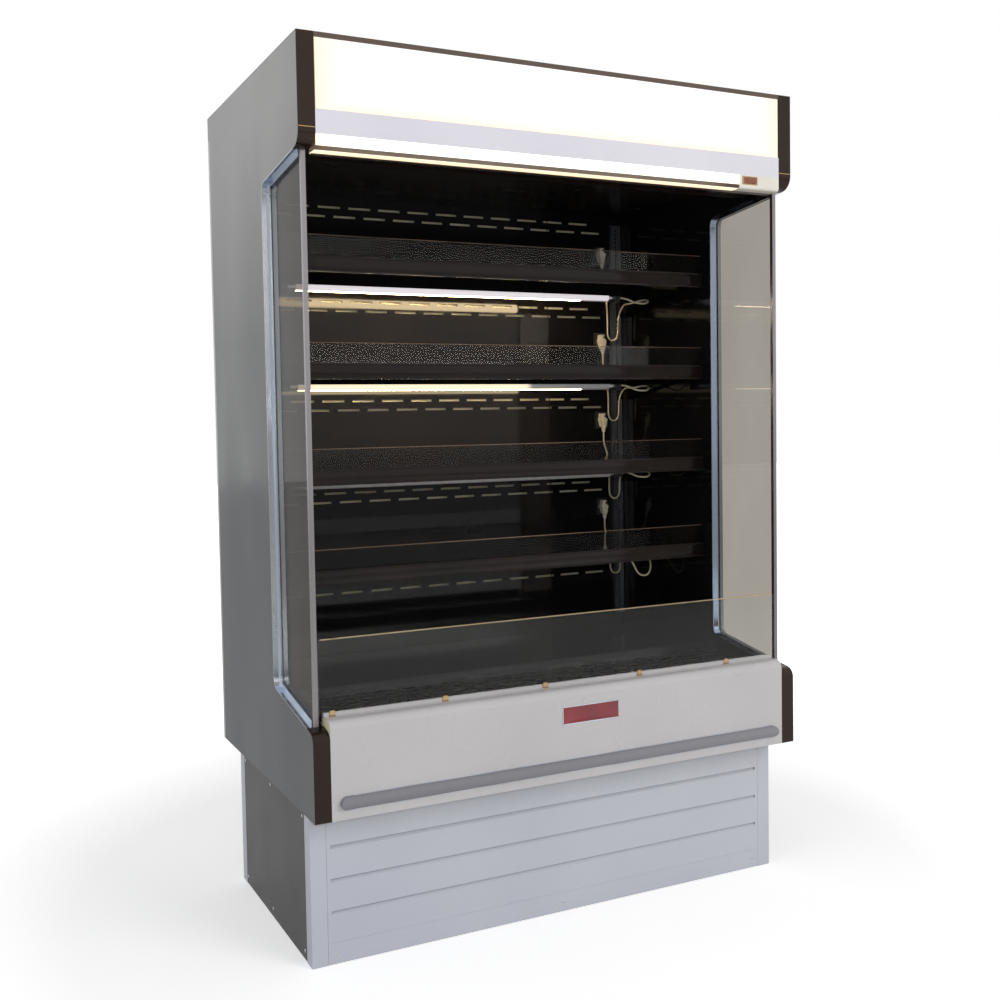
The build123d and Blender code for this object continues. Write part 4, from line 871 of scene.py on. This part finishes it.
# gold beads along the rail's top and bottom lips: painted reflection of the canopy light
def makeRailGlintBeads(setup):
    beads = []
    top, bottom = setup["topRise"], setup["topRise"] - setup["height"]
    gap, height = setup["beadGap"], setup["beadHeight"]
    for low, high in ((top - height - gap, top - gap), (bottom + gap, bottom + gap + height)):
        bead = startBox("railBead", (-setup["halfLength"], setup["frontY"] + setup["beadSink"], low),
                        (setup["halfLength"], setup["frontY"] + setup["beadDepth"], high))
        pickFaces(bead, lambda centre, normal: normal.y < -0.9)
        shrinkPicked((1, 1, setup["beadNarrow"]), (0, 0, (low + high) / 2))
        bpy.ops.object.mode_set(mode="OBJECT")
        roundEdges(bead, setup["beadRound"], 2)
        beads.append(bead)
    pair = joinPieces(beads, "railGlintBeadsModel")
    smoothByAngle(pair, 40)
    return pair


def makeLabelStrip(setup):
    top = setup["topRise"] - setup["stripMargin"]
    bottom = setup["topRise"] - setup["height"] + setup["stripMargin"]
    half = setup["halfLength"] - setup["stripEndGap"]
    frontY = setup["frontY"] + setup["stripSink"]
    strip = startBox("labelStripModel", (-half, frontY, bottom), (half, frontY + setup["stripDepth"], top))
    pickFaces(strip, lambda centre, normal: normal.y < -0.9)
    insetPicked(setup["stripRim"])
    extrudePicked((0, setup["stripRaise"], 0))
    bpy.ops.object.mode_set(mode="OBJECT")
    roundEdges(strip, setup["stripRound"], 2)
    smoothByAngle(strip, 40)
    return strip


# top edge of the clear stop, dull gold as a painted highlight
def makeStopEdgeGlint(setup):
    half = setup["stopHalf"]
    edge = startBox("stopEdgeGlintModel", (-half, *setup["stopLow"]), (half, *setup["stopHigh"]))
    pickFaces(edge, lambda centre, normal: normal.z > 0.9)
    middleY = (setup["stopLow"][0] + setup["stopHigh"][0]) / 2
    shrinkPicked((1, setup["stopNarrow"], 1), (0, middleY, 0))
    bpy.ops.object.mode_set(mode="OBJECT")
    roundEdges(edge, setup["stopRound"], 2)
    smoothByAngle(edge, 40)
    return edge


edgeModel = makeStopEdgeGlint(railSetup)
glintBeadsModel = makeRailGlintBeads(railSetup)
stripModel = makeLabelStrip(railSetup)
for index, top in enumerate(shelfTops):
    edge = copyMoved(edgeModel, f"stopEdgeGlint{index + 1}", (0, 0, top))
    dress(edge, f"shelf_{index + 1}", "bronze_trim", finishes["glintGold"])
    beads = copyMoved(glintBeadsModel, f"railGlintBeads{index + 1}", (0, 0, top))
    dress(beads, f"shelf_{index + 1}", "bronze_trim", finishes["glintGold"])
    strip = copyMoved(stripModel, f"labelStrip{index + 1}", (0, 0, top))
    dress(strip, f"shelf_{index + 1}", "rail_black", finishes["railBlack"])
for model in (edgeModel, glintBeadsModel, stripModel):
    bpy.data.objects.remove(model)
print("price rails trimmed")


# slim strips: bumper lines, sign edge, wall seam; the gold lines on the end caps where they start to curve
# and the gold front glass edge are painted highlights
stripEdge = {"rim": 0.2, "round": 0.3}
capMiddle, capHalf = 628, 18.5
stripSetups = {
    "bumperLines": {"finish": "brightTrim", "slot": "bright_trim", "bars": [
        ((-560, -391.2, 400.2), (560, -389.3, 402.0)), ((-560, -391.2, 369.8), (560, -389.3, 371.6))]},
    # painted highlight: gold lines where the end caps start to curve back
    "capCurveHighlights": {"finish": "goldTrimAndGlint", "slot": "bronze_trim", "bars": [
        ((side * capMiddle - capHalf, -387.2, 1809.5), (side * capMiddle + capHalf, -386.3, 1811.3))
        for side in (-1, 1)]},
    "signEdges": {"finish": "canopyPaint", "slot": "canopy_white", "bars": [
        ((-608, -386.3, 1994.6), (608, -384.9, 1996.6))]},
    "wallSeam": {"finish": "railBlack", "slot": "inner_black", "bars": [
        ((352.6, 359.7, 553), (355.4, 360.6, 1816))]},
    # painted highlight: gold strip on the front glass's top edge
    "glassTopHighlight": {"finish": "frontGlassGlint", "slot": "bronze_trim", "bars": [
        ((-612, -346.4, 732.7), (612, -340.6, 734.2))]},
}


def makeStrips(name, setup):
    bars = []
    for low, high in setup["bars"]:
        bar = startBox(name, low, high)
        thin = min(high[1] - low[1], high[2] - low[2], high[0] - low[0])
        pickFaces(bar, lambda centre, normal: normal.y < -0.9)
        insetPicked(thin * stripEdge["rim"])
        bpy.ops.object.mode_set(mode="OBJECT")
        roundEdges(bar, thin * stripEdge["round"], 2)
        bars.append(bar)
    strips = joinPieces(bars, name)
    smoothByAngle(strips, 40)
    dress(strips, "case", setup["slot"], finishes[setup["finish"]])


for stripName, stripSetup in stripSetups.items():
    makeStrips(stripName, stripSetup)
print("strips made")


# blank plate on the front panel, with a raised rim
badgeSetup = {"low": (-43, -391.0, 483), "high": (113, -389.45, 526), "rim": 2.2, "sink": -0.5,
              "cornerRound": 5.0, "edgeRound": 0.25, "slack": 0.3}


def makeBadge(setup):
    plate = startBox("badgePlate", setup["low"], setup["high"])
    activate(plate)
    bpy.ops.object.mode_set(mode="EDIT")
    bpy.ops.mesh.select_mode(type="EDGE")
    bpy.ops.mesh.select_all(action="DESELECT")
    editMesh = bmesh.from_edit_mesh(plate.data)
    for edge in editMesh.edges:
        run = edge.verts[0].co - edge.verts[1].co
        edge.select_set(abs(run.y) > 0.5 * mm and abs(run.x) + abs(run.z) < 0.01 * mm)
    bmesh.update_edit_mesh(plate.data)
    bpy.ops.mesh.bevel(offset=setup["cornerRound"] * mm, segments=6)
    pickFaces(plate, lambda centre, normal: normal.y < -0.9)
    insetPicked(setup["rim"], setup["sink"])
    bpy.ops.object.mode_set(mode="OBJECT")
    roundEdges(plate, setup["edgeRound"], 2, 50)
    smoothByAngle(plate, 40)
    dress(plate, "case", "front_paint", finishes["badgeRed"])
    plate.data.materials.append(finishes["brightTrim"])
    inner = Vector(setup["low"]) + Vector((setup["rim"], 0, setup["rim"]))
    outer = Vector(setup["high"]) - Vector((setup["rim"], 0, setup["rim"]))
    for face in plate.data.polygons:
        centre = face.center / mm
        insideX = inner.x - setup["slack"] < centre.x < outer.x + setup["slack"]
        insideZ = inner.z - setup["slack"] < centre.z < outer.z + setup["slack"]
        face.material_index = 0 if insideX and insideZ and face.normal.y < -0.5 else 1


makeBadge(badgeSetup)
print("badge plate made")


# brass clips at the foot of the low front glass
clipSetup = {"places": (-590, -323, -65, 199, 463), "width": 14.0, "frontY": -351.5, "rearY": -346.6,
             "low": 567.2, "height": 12.0, "foot": 3, "lean": 1.0, "narrow": (0.8, 0.5, 1), "round": 0.8}


def makeClips(setup):
    half, low, foot = setup["width"] / 2, setup["low"], setup["foot"]
    model = startBox("clipModel", (-half, setup["frontY"], low), (half, setup["rearY"], low + foot))
    pickFaces(model, lambda centre, normal: normal.z > 0.9)
    extrudePicked((0, setup["lean"], setup["height"] - foot))
    shrinkPicked(setup["narrow"], (0, setup["rearY"], low + setup["height"]))
    bpy.ops.object.mode_set(mode="OBJECT")
    roundEdges(model, setup["round"], 2)
    clips = [copyMoved(model, "clip", (place, 0, 0)) for place in setup["places"]]
    bpy.data.objects.remove(model)
    row = joinPieces(clips, "glassClips")
    smoothByAngle(row, 40)
    dress(row, "case", "bronze_trim", finishes["goldTrimAndGlint"])


makeClips(clipSetup)


# pan-head screws with a cross recess, driven along X or Y
screwSetup = {"radius": 4.2, "rise": 1.5, "base": 0.7, "shoulder": (0.6, 0.86), "crown": (0.4, 0.6),
              "recess": 0.9, "cross": (3.4, 0.8)}


def makeScrew(setup):
    rise, base = setup["rise"], setup["base"]
    screw = startRound("screwModel", (0, 0, base / 2), setup["radius"], base, "Z", 24)
    pickFaces(screw, lambda centre, normal: normal.z > 0.9)
    for share, narrow in (setup["shoulder"], setup["crown"]):
        extrudePicked((0, 0, (rise - base) * share))
        shrinkPicked((narrow, narrow, 1), (0, 0, 0))
    for wide, deep in (setup["cross"], reversed(setup["cross"])):
        low = (-wide / 2, -deep / 2, rise - setup["recess"])
        cutAway(screw, startBox("screwCut", low, (wide / 2, deep / 2, rise + 1)))
    smoothByAngle(screw, 30)
    return screw


screwModel = makeScrew(screwSetup)
towardsFront = Matrix.Rotation(math.pi / 2, 4, "X")
towardsLeft = Matrix.Rotation(-math.pi / 2, 4, "Y")
towardsRight = Matrix.Rotation(math.pi / 2, 4, "Y")
sideRow = [(y, z) for y in (-255, 0, 230) for z in (22, 328)]
screwRows = {
    "louvreScrews": (towardsFront, [(x, -305.4, z) for x in (-578, 578, 0) for z in (24, 322)]),
    "leftBaseScrews": (towardsLeft, [(-634.45, y, z) for y, z in sideRow]),
    "rightBaseScrews": (towardsRight, [(634.45, y, z) for y, z in sideRow]),
}
for rowName, (turn, places) in screwRows.items():
    heads = [copyMoved(screwModel, "screwHead", place, turn) for place in places]
    row = joinPieces(heads, rowName)
    dress(row, "case", "rear_steel", finishes["screwSteel"])
bpy.data.objects.remove(screwModel)
print("clips and screws made")


# frame round the light switch
bezelSetup = {"low": (494.5, -387.4, 1774.5), "high": (541.5, -386.3, 1795.5), "round": 0.35,
              "holeLow": (499.2, -390, 1777.2), "holeHigh": (536.8, -383, 1792.8)}


def makeBezel(setup):
    bezel = startBox("switchBezel", setup["low"], setup["high"])
    cutAway(bezel, startBox("bezelCut", setup["holeLow"], setup["holeHigh"]))
    roundEdges(bezel, setup["round"], 2)
    smoothByAngle(bezel, 40)
    dress(bezel, "case", "bronze_trim", finishes["goldTrimAndGlint"])


makeBezel(bezelSetup)
print("switch frame made")


# plain pale floor; its own light towards the camera hides the horizon and keeps the shadow
floorSetup = {"size": 40, "height": -0.0004, "lift": (0.40, 1.0), "fade": (1.1, 2.6),
              "mirrorLift": 0.15, "glassLift": 0.48, "paint": ((0.80, 0.80, 0.80), (0.83, 0.83, 0.83)),
              "rough": 0.9, "specular": 0.1}


def makeFloor(setup):
    deselectAll()
    bpy.ops.mesh.primitive_plane_add(size=setup["size"], location=(0, 0, setup["height"]))
    floor = bpy.context.object
    floor.name = "paleFloor"
    finish, tree, shader, place = startFinish("floorPale")
    speckle = addNoise(tree, place, 3.0, 2.0)
    tree.links.new(addMix(tree, speckle, *setup["paint"]), shader.inputs["Base Color"])
    shader.inputs["Roughness"].default_value = setup["rough"]
    shader.inputs["Specular IOR Level"].default_value = setup["specular"]
    seen = tree.nodes.new("ShaderNodeLightPath")
    behindGlass = addRange(tree, seen.outputs["Is Transmission Ray"], 0.0, setup["glassLift"], 0.0, 1.0)
    direct = addMath(tree, "MAXIMUM", seen.outputs["Is Camera Ray"], behindGlass)
    away = tree.nodes.new("ShaderNodeVectorMath")
    away.operation = "LENGTH"
    tree.links.new(place, away.inputs[0])
    mirrored = addRange(tree, seen.outputs["Is Glossy Ray"], 0.0, setup["mirrorLift"], 0.0, 1.0)
    outward = addRange(tree, away.outputs["Value"], *setup["lift"], *setup["fade"])
    lift = addMath(tree, "MULTIPLY_ADD", outward, direct, mirrored)
    shader.inputs["Emission Color"].default_value = (1, 1, 1, 1)
    tree.links.new(lift, shader.inputs["Emission Strength"])
    floor.data.materials.append(finish)


makeFloor(floorSetup)


# pale room: soft on the object, white to the camera, behind glass and in reflections
worldSetup = {"strength": 0.5, "seen": 1.0}


def makeWorld(setup):
    world = bpy.data.worlds.new("paleRoom")
    bpy.context.scene.world = world
    world.use_nodes = True
    tree = world.node_tree
    background = tree.nodes["Background"]
    rays = tree.nodes.new("ShaderNodeLightPath")
    anySeen = rays.outputs["Is Camera Ray"]
    for ray in ("Is Glossy Ray", "Is Transmission Ray"):
        anySeen = addMath(tree, "MAXIMUM", anySeen, rays.outputs[ray])
    level = tree.nodes.new("ShaderNodeMapRange")
    level.inputs["To Min"].default_value = setup["strength"]
    level.inputs["To Max"].default_value = setup["seen"]
    tree.links.new(anySeen, level.inputs["Value"])
    tree.links.new(level.outputs["Result"], background.inputs["Strength"])
    background.inputs["Color"].default_value = (1, 1, 1, 1)


# studio lamps, kept out of reflections
lightSetup = {
    "frontSoft": {"place": (1.9, -4.2, 2.6), "target": (0.1, 0, 1.0), "size": 2.4, "power": 88,
                  "colour": (1.0, 0.98, 0.96)},
    "leftSoft": {"place": (-4.2, -1.4, 2.4), "target": (0, 0, 0.9), "size": 2.0, "power": 26,
                 "colour": (0.96, 0.98, 1.0)},
    "cameraFlash": {"place": (-1.34, -2.71, 1.30), "target": (0.4, 0.2, 1.1), "size": 0.16, "power": 11,
                    "colour": (0.85, 0.92, 1.0)},
}


def makeLights(setup):
    for name, lamp in setup.items():
        data = bpy.data.lights.new(name, "AREA")
        data.size = lamp["size"]
        data.energy = lamp["power"]
        data.color = lamp["colour"]
        light = bpy.data.objects.new(name, data)
        bpy.context.scene.collection.objects.link(light)
        light.visible_glossy = False
        light.location = lamp["place"]
        aim = Vector(lamp["target"]) - Vector(lamp["place"])
        light.rotation_euler = aim.to_track_quat("-Z", "Y").to_euler()


makeWorld(worldSetup)
makeLights(lightSetup)
print("floor and light set")

deselectAll()
